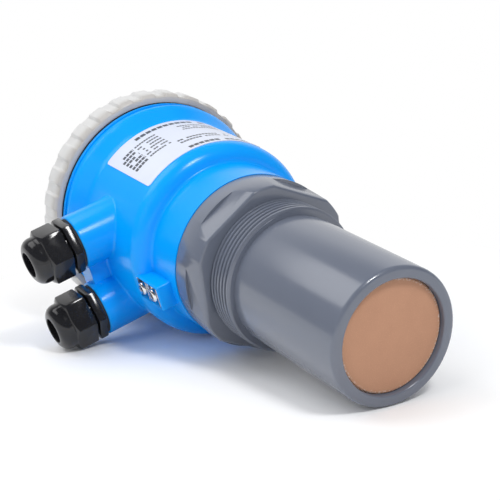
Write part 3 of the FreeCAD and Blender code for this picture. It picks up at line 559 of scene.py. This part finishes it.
def combine(piece, tool, operation):
    """A boolean with another piece, which is used up, and a cleaning of the seam."""
    modify(piece, "BOOLEAN", operation=operation, object=tool, solver="MANIFOLD")
    bpy.data.objects.remove(tool)
    edit(piece)
    bpy.ops.mesh.select_all(action="SELECT")
    bpy.ops.mesh.remove_doubles(threshold=SEAM)
    bpy.ops.mesh.dissolve_degenerate(threshold=SEAM)
    bpy.ops.mesh.select_all(action="SELECT")
    bpy.ops.mesh.fill_holes(sides=6)
    bpy.ops.mesh.select_all(action="SELECT")
    bpy.ops.mesh.normals_make_consistent(inside=False)
    done()


print("pieces can be cut and joined")

# %% [markdown]
# ## Threads
#
# A thread is a ridge that climbs as it turns. Its section is drawn once as a small closed outline, the Screw
# modifier winds it up the axis, and what stands out of a turned envelope is trimmed away, so the thread runs
# out as a cut thread does. The ridge is then made one with the core it sits on.

# %% A ridge that climbs


def thread_ridge(name, root, crest, pitch, low, turns, envelope, steps=144):
    """A helical ridge between two radii, trimmed to an envelope."""
    sink, flank = root - 0.6, crest - 0.12
    outline = [(sink, -0.47), (flank, -0.25), (crest, -0.17), (crest, 0.17), (flank, 0.25), (sink, 0.47),
               (sink, -0.47)]
    ridge = drawn_line(name, [(radius, low + share * pitch) for radius, share in outline])
    edit(ridge)
    heal()
    done()
    modify(ridge, "SCREW", axis="Z", angle=2 * math.pi, screw_offset=pitch * MM, iterations=turns,
           steps=steps, render_steps=steps, use_merge_vertices=False)
    edit(ridge)
    heal()
    bpy.ops.mesh.fill_holes(sides=len(outline))
    heal()
    done()
    combine(ridge, lathe(f"{name}_envelope", envelope, steps), "INTERSECT")
    return ridge


print("the thread maker is ready")

# %% [markdown]
# ## Handing a piece over
#
# A finished piece is shaded smooth, except across edges that are sharper than an angle. It gets its finish,
# it rides on the body it moves with, and it stands for the solid that it replaces.

# %% Shading and handing over


def smooth(piece, degrees=30):
    """Smooth shading across edges that turn less than an angle."""
    only(piece)
    bpy.ops.object.shade_smooth_by_angle(angle=math.radians(degrees))


def finish_piece(piece, body, slot, finish, *replaced):
    """Gives a piece its finish, its body and the nodes that it stands for."""
    piece.data.materials.clear()
    piece.data.materials.append(finish.material)
    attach(piece, body)
    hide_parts(*replaced)
    print(piece.name, "has", len(piece.data.polygons), "faces and stands for", ", ".join(replaced))


print("pieces can be handed over")

# %% [markdown]
# ## The probe
#
# The grey body is one moulding: a smooth tube with a rounded tip, a short coarse thread, a hexagon for a
# spanner and a round flange. All of it is turned in one go, with the hexagon as part of the flange, and six
# wedges then cut the leaning flats, so that the corners stay round and run into the flange as on the real
# one. The front edge is bevelled along picked edges, and the thread is added last.

# %% Turn the probe
TIP, SEAT, HEX_TOP, FLANGE_TOP, PLUG_TOP = -81.4, 0.0, 9.6, 19.2, 33.2
RECESS_R, TUBE_R, FLANGE_R, FLANGE_TOP_R, PLUG_R = 22.3, 27.0, 35.8, 35.2, 31.5
ROOT_R, CREST_R, THREAD_PITCH, THREAD_LOW = 28.7, 30.0, 2.309, -13.8
GROOVE_R, GROOVE_LOW, GROOVE_HIGH = 29.2, 25.0, 27.4
probe = lathe("probe", rounded([
    (RECESS_R, TIP, 0.8), (TUBE_R, TIP, 1.8), (TUBE_R, THREAD_LOW), (ROOT_R, THREAD_LOW), (ROOT_R, SEAT),
    (FLANGE_R, SEAT), (FLANGE_R, HEX_TOP), (FLANGE_TOP_R, FLANGE_TOP, 0.5), (PLUG_R, FLANGE_TOP),
    (PLUG_R, GROOVE_LOW), (GROOVE_R, GROOVE_LOW), (GROOVE_R, GROOVE_HIGH), (PLUG_R, GROOVE_HIGH),
    (PLUG_R, PLUG_TOP, 0.6), (RECESS_R, PLUG_TOP),
]), steps=144)
print("probe turned:", len(probe.data.polygons), "faces")

# %% Cut the hexagon and add the thread
HEX_SIDES, HEX_HALF, HEX_LEAN, HEX_TURN = 6, 32.83, 1.77, -21.6
WEDGE_DEEP, WEDGE_WIDE, WEDGE_HIGH = 6.0, 31.0, 10.6
FRONT_EDGE_R, FRONT_BEVEL = 31.0, 0.9


def block(name, x_size, y_size, z_size):
    """A cube pulled to size about the origin, left in edit mode with all of it selected."""
    bpy.ops.object.select_all(action="DESELECT")
    bpy.ops.mesh.primitive_cube_add(size=1)
    piece = bpy.context.object
    piece.name = name
    edit(piece, "FACE")
    bpy.ops.mesh.select_all(action="SELECT")
    bpy.ops.transform.resize(value=(x_size * MM, y_size * MM, z_size * MM))
    return piece


def flat_wedge(name, angle):
    """The wedge that cuts one leaning flat, from in front of the seat up to the flange."""
    wedge = block(name, WEDGE_DEEP, WEDGE_WIDE, WEDGE_HIGH)
    out, up = HEX_HALF + WEDGE_DEEP / 2, HEX_TOP - WEDGE_HIGH / 2
    bpy.ops.transform.translate(value=(out * MM, 0, up * MM))
    bpy.ops.mesh.select_mode(type="VERT")
    pick("verts", lambda vertex: vertex.co.x < FLANGE_R * MM and vertex.co.z > SEAT * MM)
    bpy.ops.transform.translate(value=(HEX_LEAN * MM, 0, 0))
    bpy.ops.mesh.select_all(action="SELECT")
    bpy.ops.transform.rotate(value=-angle, orient_axis="Z", center_override=(0, 0, 0))
    done()
    return wedge


def at_level(vertex, level, gap=0.01):
    """True for a vertex within a gap of a level, both in millimetres."""
    return abs(vertex.co.z / MM - level) < gap


def on_front_edge(edge):
    """True for the outer edges of the face that the hexagon sits down on."""
    return all(at_level(v, SEAT, 0.001) and v.co.xy.length > FRONT_EDGE_R * MM for v in edge.verts)


for flat in range(HEX_SIDES):
    angle = math.radians(360 / HEX_SIDES * flat + HEX_TURN)
    combine(probe, flat_wedge(f"wedge_{flat}", angle), "DIFFERENCE")
edit(probe, "EDGE")
front = pick("edges", on_front_edge)
bpy.ops.mesh.bevel(offset=FRONT_BEVEL * MM, segments=3, affect="EDGES")
done()

ridge = thread_ridge("process_thread", ROOT_R, CREST_R, THREAD_PITCH, low=-16.92, turns=8, envelope=[
    (27.5, -13.75), (29.2, -13.75), (30.1, -13.0), (30.1, 0.3), (27.5, 0.3)])
combine(probe, ridge, "UNION")
smooth(probe, 32)
finish_piece(probe, "transmitter", "grey_plastic", grey_pvc, "probe_body")
print("front edges bevelled:", front)

# %% [markdown]
# ## The sensing disc
#
# The brown disc is cast into the tip a little below the rim. It is turned as half a section that starts on
# the axis. A thin step around its edge keeps the fine dark line that separates it from the grey tube.

# %% Model the sensing disc
DISC_FACE, DISC_STEP, DISC_BACK = -79.2, -78.6, -73.2
DISC_R, DISC_FOOT_R = 21.75, 22.15
disc = lathe("sensing_face", rounded([
    (0, DISC_FACE), (DISC_R, DISC_FACE, 0.25), (DISC_R, DISC_STEP), (DISC_FOOT_R, DISC_STEP),
    (DISC_FOOT_R, DISC_BACK), (0, DISC_BACK)]), closed=False)
smooth(disc)
finish_piece(disc, "transmitter", "brown_layer", brown_layer, "sensing_disc")

# %% [markdown]
# ## The housing
#
# The blue moulding has long fillets, bosses and ribs that the solid already carries, so its own mesh is
# reused: a copy is merged by distance, because the frame's triangles are loose, and shaded smooth up to an
# angle. The same is done with every solid whose shape is already right. Only the rim is worked over. The
# sides of its groove are picked and moved apart, and the edges there are broken with a small bevel, so that
# they catch the light.

# %% A smooth copy of a finished solid
LOOSE_GAP, FLAT_ANGLE, BEVEL_ANGLE = 0.002, 0.05, 40
HOUSING_ANGLE = 28


def smooth_copy(node, body, slot, finish, degrees=30, bevel=0.0):
    """A merged and smoothly shaded copy of a node, with a narrow bevel if one is asked for."""
    piece = nodes[node].copy()
    piece.data = nodes[node].data.copy()
    piece.name = piece.data.name = f"{node}_moulded"
    piece.parent = None
    for key in [key for key in piece.keys() if key.startswith("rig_")]:
        del piece[key]
    bpy.context.scene.collection.objects.link(piece)
    edit(piece)
    bpy.ops.mesh.select_all(action="SELECT")
    bpy.ops.mesh.customdata_custom_splitnormals_clear()
    bpy.ops.mesh.remove_doubles(threshold=LOOSE_GAP * MM)
    bpy.ops.mesh.dissolve_limited(angle_limit=math.radians(FLAT_ANGLE))
    done()
    if bevel:
        soften(piece, bevel, BEVEL_ANGLE)
    smooth(piece, degrees)
    finish_piece(piece, body, slot, finish, node)
    return piece


housing = smooth_copy("housing", "transmitter", "blue_plastic", blue_moulding, HOUSING_ANGLE)

# %% Work over the rim, and copy what sits on the wall
RIM_R, RIM_TOP, RIM_BEVEL = 48.0, 102.4, 0.35
RIM_GROOVE = {99.0: 98.3, 99.9: 100.6}  # the level of each side in the solid, and where it goes
RIM_EDGES = (*RIM_GROOVE.values(), RIM_TOP)


def on_rim_edge(edge):
    """True for the edges that ring the rim, at its groove and at its top."""
    out = all(abs(v.co.xy.length / MM - RIM_R) < 0.02 for v in edge.verts)
    return out and any(all(at_level(v, level) for v in edge.verts) for level in RIM_EDGES)


edit(housing)
for level, wanted in RIM_GROOVE.items():
    pick("verts", lambda v: at_level(v, level) and RIM_R - 1.0 < v.co.xy.length / MM < RIM_R + 0.1)
    bpy.ops.transform.translate(value=(0, 0, (wanted - level) * MM))
bpy.ops.mesh.select_mode(type="EDGE")
broken = pick("edges", on_rim_edge)
bpy.ops.mesh.bevel(offset=RIM_BEVEL * MM, segments=2, affect="EDGES", clamp_overlap=True)
done()
smooth(housing, HOUSING_ANGLE)
print("rim edges broken:", broken)
smooth_copy("type_label", "transmitter", "label_film", label_film)
smooth_copy("earth_washers", "transmitter", "bright_steel", bright_steel, bevel=0.12)

# %% [markdown]
# ## The clear cover
#
# The cover is turned as a thin cap with a pocket for its seal. Its grip is a row of ridges and valleys: the
# cap is spun in twelve steps to each ridge, and the rim's vertices that fall into a valley are drawn in to
# the valley's floor with the scale operator, ring by ring. That keeps one closed skin, where cutting the
# valleys with booleans would leave seams. A narrow bevel softens the steps.

# %% Model the cover
GRIPS, GRIP_STEPS, VALLEY_STEPS = 28, 12, range(4, 9)
COVER_R, VALLEY_R = 52.0, 50.7
COVER_TOP, PLATE_BACK, POCKET_TOP, LIP = 116.6, 113.1, 105.2, 102.7
POCKET_R, BORE_R, SKIRT_R = 48.2, 45.7, 45.0
cover = lathe("cover", rounded([
    (0, COVER_TOP), (COVER_R, COVER_TOP, 3.0), (COVER_R, 111.0), (COVER_R, 107.0), (COVER_R, 103.9),
    (50.8, LIP), (POCKET_R, LIP), (POCKET_R, POCKET_TOP), (BORE_R, POCKET_TOP), (BORE_R, PLATE_BACK, 1.2),
    (0, PLATE_BACK)], 6), steps=GRIPS * GRIP_STEPS, closed=False)


def in_valley(vertex, rim):
    """True for the vertices of one ring that lie in a valley of the grip."""
    turn = math.degrees(math.atan2(vertex.co.y, vertex.co.x)) / 360
    step = round(turn * GRIPS * GRIP_STEPS) % GRIP_STEPS
    return abs(vertex.co.xy.length / MM - rim) < 0.004 and step in VALLEY_STEPS


edit(cover)
rings = sorted({round(v.co.xy.length / MM, 3) for v in cover.data.vertices})
rims = [ring for ring in rings if ring > VALLEY_R + 0.01]
for rim in rims:
    pick("verts", lambda vertex: in_valley(vertex, rim))
    shrink = VALLEY_R / rim
    bpy.ops.transform.resize(value=(shrink, shrink, 1), center_override=(0, 0, 0))
done()
soften(cover, 0.28, 28)
smooth(cover)
finish_piece(cover, "cover", "clear_plastic", clear_plate, "clear_cover")
cover.data.materials.append(milky_skirt.material)
for face in cover.data.polygons:
    if face.center.xy.length > SKIRT_R * MM:
        face.material_index = 1
print("grip:", GRIPS, "ridges, drawn in at", len(rims), "rings")

# %% [markdown]
# ## The cable glands
#
# Each gland has a hexagon body screwed into the boss, a rubber insert and a dome nut that squeezes it. Body
# and nut are turned to their corners and then sliced by six planes, which leaves the curved chamfers that a
# hexagon on a lathe gets. They are made lying along Z, turned to face the front and set on their boss.

# %% Tools for the glands
GLAND_TURN = 2.0


def shave(piece, spot, normal):
    """Cuts away what lies beyond a plane and closes the cut."""
    edit(piece)
    bpy.ops.mesh.select_all(action="SELECT")
    bpy.ops.mesh.bisect(plane_co=Vector(spot) * MM, plane_no=normal.normalized(), use_fill=True,
                        clear_outer=True)
    done()


def slice_hexagon(piece, half):
    """Cuts six flats, each at half the width across flats from the axis."""
    for flat in range(HEX_SIDES):
        angle = math.radians(360 / HEX_SIDES * flat + GLAND_TURN)
        outwards = Vector((math.cos(angle), math.sin(angle), 0))
        shave(piece, outwards * half, outwards)


def face_front(piece, x_at, y_at, z_at):
    """Turns a piece made along Z to point at the front, and sets its foot in place."""
    piece.rotation_euler = (math.pi / 2, 0, 0)
    piece.location = Vector((x_at, y_at, z_at)) * MM
    only(piece)
    bpy.ops.object.transform_apply(location=True, rotation=True, scale=True)


def copied(piece, name):
    """A copy with its own mesh."""
    twin = piece.copy()
    twin.data = piece.data.copy()
    twin.name = twin.data.name = name
    bpy.context.scene.collection.objects.link(twin)
    return twin


print("the glands get", HEX_SIDES, "flats, turned by", GLAND_TURN, "degrees")

# %% Model the glands
GLAND_X = {"left": -16.6, "right": 16.6}
GLAND_Y, GLAND_Z, FLAT_HALF = -54.0, 71.0, 11.0

nut = lathe("nut", rounded([
    (9.2, 5.8), (12.3, 5.8), (12.7, 6.2), (12.7, 14.2), (10.6, 15.5), (10.4, 15.6), (10.4, 21.8, 4.5),
    (5.6, 21.8, 0.3), (5.6, 14.8), (9.2, 14.8)], 8))
slice_hexagon(nut, FLAT_HALF)
soften(nut, 0.22, 24)
smooth(nut)

gland = lathe("gland", [
    (6.2, -9.0), (8.9, -9.0), (9.3, -8.6), (9.3, 1.0), (12.2, 1.0), (12.7, 1.4), (12.7, 4.2), (12.2, 4.6),
    (8.5, 4.6), (8.5, 14.2), (7.6, 14.2), (7.6, 6.0), (6.2, 6.0)])
slice_hexagon(gland, FLAT_HALF)
ridge = thread_ridge("gland_thread", root=8.5, crest=9.1, pitch=1.5, low=4.0, turns=8, envelope=[
    (8.0, 4.7), (9.2, 4.7), (9.2, 13.6), (8.6, 14.1), (8.0, 14.1)], steps=64)
combine(gland, ridge, "UNION")
soften(gland, 0.2, 50)
smooth(gland)

insert = lathe("insert", rounded([
    (4.0, 6.3, 0.5), (7.5, 6.3, 0.3), (7.5, 14.5, 0.6), (4.0, 14.5, 0.9)]), steps=72)
smooth(insert)

for side, x_at in GLAND_X.items():
    parts = (
        (nut, f"gland_nut_{side}", f"nut_{side}", "black_plastic", black_nylon),
        (gland, f"gland_body_{side}", "transmitter", "black_plastic", black_nylon),
        (insert, f"gland_seal_{side}", f"insert_{side}", "black_rubber", black_rubber),
    )
    for made, node, body, slot, finish in parts:
        piece = copied(made, f"{node}_turned")
        face_front(piece, x_at, GLAND_Y, GLAND_Z)
        finish_piece(piece, body, slot, finish, node)
    smooth_copy(f"gland_gasket_{side}", "transmitter", "black_rubber", black_rubber)
for pattern in (nut, gland, insert):
    bpy.data.objects.remove(pattern)

# %% [markdown]
# ## Screws
#
# A screw head is turned with a crowned top, and its cross drive is cut by two bars. Each bar is a cube pulled
# to size and tapered by scaling its lower face, the way the driver's point tapers. One screw is made for the
# earth terminal and one for the panel, and each is copied to its places.

# %% Tools for the screws
DRIVE_TURN = 0.4


def driver_bar(name, length, width, top, depth, angle):
    """A tapered bar that cuts one arm of a drive."""
    bar = block(name, length, width, 2 * depth)
    pick("faces", lambda face: face.normal.z < -0.9)
    bpy.ops.transform.resize(value=(0.55, 0.7, 1))
    bpy.ops.mesh.select_all(action="SELECT")
    bpy.ops.transform.rotate(value=angle, orient_axis="Z", center_override=(0, 0, 0))
    bpy.ops.transform.translate(value=(0, 0, top * MM))
    done()
    return bar


def screw(name, shank_r, low, seat, head_r, head_high):
    """A pan-head screw along Z with a cross drive."""
    top = seat + head_high
    made = lathe(name, rounded([
        (0, top), (head_r, top - 0.12 * head_high, 0.45 * head_high), (head_r, seat, 0.1), (shank_r, seat),
        (shank_r, low + 0.4), (shank_r - 0.4, low), (0, low)]), steps=48, closed=False)
    for angle in (DRIVE_TURN, DRIVE_TURN + math.pi / 2):
        bar = driver_bar(f"{name}_bar", 1.25 * head_r, 0.27 * head_r, top, 0.5 * head_high, angle)
        combine(made, bar, "DIFFERENCE")
    smooth(made, 32)
    return made


def joined(name, pieces):
    """Several loose copies as one piece."""
    only(pieces[0])
    for piece in pieces[1:]:
        piece.select_set(True)
    bpy.ops.object.join()
    pieces[0].name = pieces[0].data.name = name
    return pieces[0]


print("the screw maker is ready")

# %% Model the screws
EARTH_X, EARTH_Y, EARTH_LEVELS = -1.35, -39.8, (30.6, 40.1)
PANEL_SCREW_R, PANEL_SCREW_ANGLES = 37.6, (30, 150, 270)

pattern = screw("earth_screw", shank_r=1.9, low=-5.0, seat=0.8, head_r=2.9, head_high=2.4)
pair = [copied(pattern, "earth_screw_copy") for level in EARTH_LEVELS]
bpy.data.objects.remove(pattern)
for made, level in zip(pair, EARTH_LEVELS):
    face_front(made, EARTH_X, EARTH_Y, level)
finish_piece(joined("earth_screw_pair", pair), "transmitter", "bright_steel", bright_steel, "earth_screws")

pattern = screw("panel_screw", shank_r=1.2, low=101.5, seat=107.0, head_r=2.5, head_high=1.8)
trio = [copied(pattern, "panel_screw_copy") for angle in PANEL_SCREW_ANGLES]
bpy.data.objects.remove(pattern)
for made, angle in zip(trio, map(math.radians, PANEL_SCREW_ANGLES)):
    spot = Vector((PANEL_SCREW_R * math.cos(angle), PANEL_SCREW_R * math.sin(angle), 0))
    made.data.transform(Matrix.Translation(spot * MM))
finish_piece(joined("panel_screw_set", trio), "transmitter", "bright_steel", bright_steel, "panel_screws")

# %% [markdown]
# ## Behind the clear cover
#
# Through the cover show the front panel, the display, four keys and the terminal block. Their solids are
# right, so they are copied, most of them with a narrow bevel, and shaded smooth. What lies deeper, the boards
# and the transducer, keeps its own mesh and only gets a finish.

# %% Dress the inner pieces
SOFTENED = (
    ("front_panel", "panel_plastic", panel_plastic, 0.25),
    ("terminal_block", "green_plastic", green_plastic, 0.15),
    ("lcd_module", "lcd_glass", lcd_glass, 0.2),
    ("display_window", "window_pane", window_pane, 0.1),
)
for node, slot, finish, bevel in SOFTENED:
    smooth_copy(node, "transmitter", slot, finish, bevel=bevel)
for key in ("key_menu", "key_up", "key_down", "key_enter"):
    smooth_copy(key, key, "key_rubber", key_rubber)
smooth_copy("cover_seal", "cover_ring", "black_rubber", black_rubber, 60)

PLAIN = {
    "piezo_disc": silvered_ceramic, "isolation_ring": black_rubber, "damping_backing": cast_backing,
    "transducer_lead": lead_sheath, "neck_seal": black_rubber, "power_board": board_laminate,
    "main_board": board_laminate, "board_spacers": turned_brass, "board_screws": bright_steel,
    "board_header": black_nylon, "key_switches": black_nylon, "terminal_screws": bright_steel,
}
for node, finish in PLAIN.items():
    nodes[node].data.materials.clear()
    nodes[node].data.materials.append(finish.material)
print("kept as they are:", ", ".join(PLAIN))

# %% [markdown]
# ## The table
#
# The instrument lies on a white table, on its tip, its shoulder and one gland: the table is a plane through
# those three points, seen only from above, so that it hides nothing in other views. Near the instrument the
# table takes its shadow, and further out it turns into plain white for the camera, so the ground has no
# horizon. More light would make it white too, but it would bleach the instrument.

# %% Set the table
UP = Vector((0.9489, 0.2852, 0.1350)).normalized()
RIGHT = Vector((-0.24346, 0.8247, -0.51048))
CAMERA_UP = Vector((0.85742, 0.42903, 0.28419))
FORWARD = Vector((-0.45338, 0.36851, 0.81157))
EYE = Vector((264.223, -211.763, -448.367)) * MM
AWAY = (FORWARD - UP * FORWARD.dot(UP)).normalized()
SIDE = AWAY.cross(UP).normalized()
TABLE_DROP, TABLE_WIDE = 37.50, 9.0
GLOW_FROM, GLOW_TO = 0.12, 0.21
middle = Vector((-10.0, -5.0, 20.0)) * MM
ground = UP * -TABLE_DROP * MM


def stand(obj, right, up, back, spot):
    """Sets an object's three axes and its place."""
    obj.matrix_world = Matrix.Translation(spot) @ Matrix((right, up, back)).transposed().to_4x4()


bpy.ops.object.select_all(action="DESELECT")
bpy.ops.mesh.primitive_plane_add(size=TABLE_WIDE)
table = bpy.context.object
table.name = "table"
stand(table, SIDE, AWAY, UP, ground)
white_table = Finish("white_table", Roughness=0.6, Specular_IOR_Level=0.2)
seen = white_table.ray("Camera") + white_table.ray("Glossy") + white_table.ray("Transmission")
seen = seen.math("MINIMUM", 1.0)
white_table.set(Base_Color=white_table.mix(seen, (0.80, 0.80, 0.80), (1.0, 1.0, 1.0)))
under = ((middle - ground).dot(SIDE), (middle - ground).dot(AWAY), 0.0)
here = white_table.node("ShaderNodeTexCoord", output="Object")
far = white_table.rise(white_table.vector("DISTANCE", here, under, "Value"), GLOW_FROM, GLOW_TO)
hole = white_table.node("ShaderNodeBsdfTransparent")
back_side = white_table.node("ShaderNodeNewGeometry", output="Backfacing")
surface = Wire(white_table, white_table.shader.outputs[0])
glow = white_table.node("ShaderNodeEmission", {}, {"Color": (1.0, 1.0, 1.0, 1.0), "Strength": 1.0})
ground_look = white_table.node("ShaderNodeMixShader", {}, {0: far * seen, 1: surface, 2: glow})
shown = white_table.node("ShaderNodeMixShader", {}, {0: back_side, 1: ground_look, 2: hole})
white_table.tree.links.new(shown.socket, white_table.tree.nodes["Material Output"].inputs["Surface"])
table.data.materials.append(white_table.material)
print("table", TABLE_DROP, "mm below the axis, plain white from", round(GLOW_TO / MM), "mm out")

# %% [markdown]
# ## The surroundings
#
# A glossy piece shows what stands around it. The gloss mirrors a pale backdrop under a dark ceiling, and a
# dark room behind the camera, which gives the grey tube its dark band. Dull surfaces only need an even fill,
# a little brighter from the backdrop, and the camera itself sees plain white.

# %% Make the world
world = bpy.data.worlds.new("studio")
bpy.context.scene.world = world
world.use_nodes = True
sky = Nodes(world.node_tree)
direction = sky.node("ShaderNodeTexCoord", output="Generated")
behind = sky.vector("DOT_PRODUCT", direction, AWAY, "Value")
above = sky.vector("DOT_PRODUCT", direction, UP, "Value")
height = sky.rise(above, 0.1, 0.9)

ceiling = sky.rise(above, 0.60, 0.86)
backdrop = sky.rise(behind, 0.28, 0.85) * (1.0 - ceiling)
room = sky.mix(height, (0.14, 0.145, 0.16), (0.06, 0.062, 0.066))
mirrored = sky.mix(backdrop, room, (1.0, 1.0, 1.0))

front_half = sky.mix(height, (0.49, 0.495, 0.51), (0.46, 0.465, 0.48))
fill = sky.mix(sky.rise(behind, -0.25, 0.25), front_half, (0.62, 0.625, 0.64))

seen = (sky.ray("Glossy") + sky.ray("Transmission")).math("MINIMUM", 1.0)
shown = sky.mix(sky.ray("Camera"), sky.mix(seen, fill, mirrored), (1.0, 1.0, 1.0))
sky.tree.links.new(shown.socket, sky.tree.nodes["Background"].inputs["Color"])
print("world:", len(sky.tree.nodes), "nodes")

# %% [markdown]
# ## Lamps and camera
#
# A soft key lamp stands high in front, to the right, a large one hangs overhead, one stands to the left and
# one fills from the front. The gloss doesn't mirror the overhead lamp and the front fill, because their
# squares would lie across the tube. The camera stands where the round edges of the solids fall into place.

# %% Set the lamps and the camera
# name, place from the middle, width, power, and whether the gloss mirrors it
LAMPS = (
    ("key", UP * 0.72 + SIDE * 0.31 - AWAY * 0.53, 0.18, 3.4, True),
    ("overhead", UP * 0.90 - SIDE * 0.20 + AWAY * 0.20, 1.2, 1.6, False),
    ("left_fill", UP * 0.76 - SIDE * 0.56 + AWAY * 0.08, 0.6, 2.4, True),
    ("front_fill", UP * 0.45 - SIDE * 0.65 - AWAY * 0.60, 0.6, 2.0, False),
)


def softbox(name, offset, width, power):
    """A square soft lamp, in metres and watts, that faces the middle of the instrument."""
    lamp = bpy.data.lights.new(name, "AREA")
    lamp.shape = "SQUARE"
    lamp.size = width
    lamp.energy = power
    holder = bpy.data.objects.new(name, lamp)
    bpy.context.scene.collection.objects.link(holder)
    facing = offset.to_track_quat("Z", "Y").to_matrix().to_4x4()
    holder.matrix_world = Matrix.Translation(middle + offset) @ facing
    return holder


for name, offset, width, power, in_gloss in LAMPS:
    softbox(name, offset, width, power).visible_glossy = in_gloss

lens = bpy.data.cameras.new("camera")
lens.lens = 100.24
lens.sensor_width = 36.0
camera = bpy.data.objects.new("camera", lens)
bpy.context.scene.collection.objects.link(camera)
stand(camera, RIGHT, CAMERA_UP, -FORWARD, EYE)
bpy.context.scene.camera = camera
bpy.context.scene.view_settings.view_transform = "Standard"
print(len(LAMPS), "lamps, and a camera at", [round(value / MM) for value in EYE], "mm")
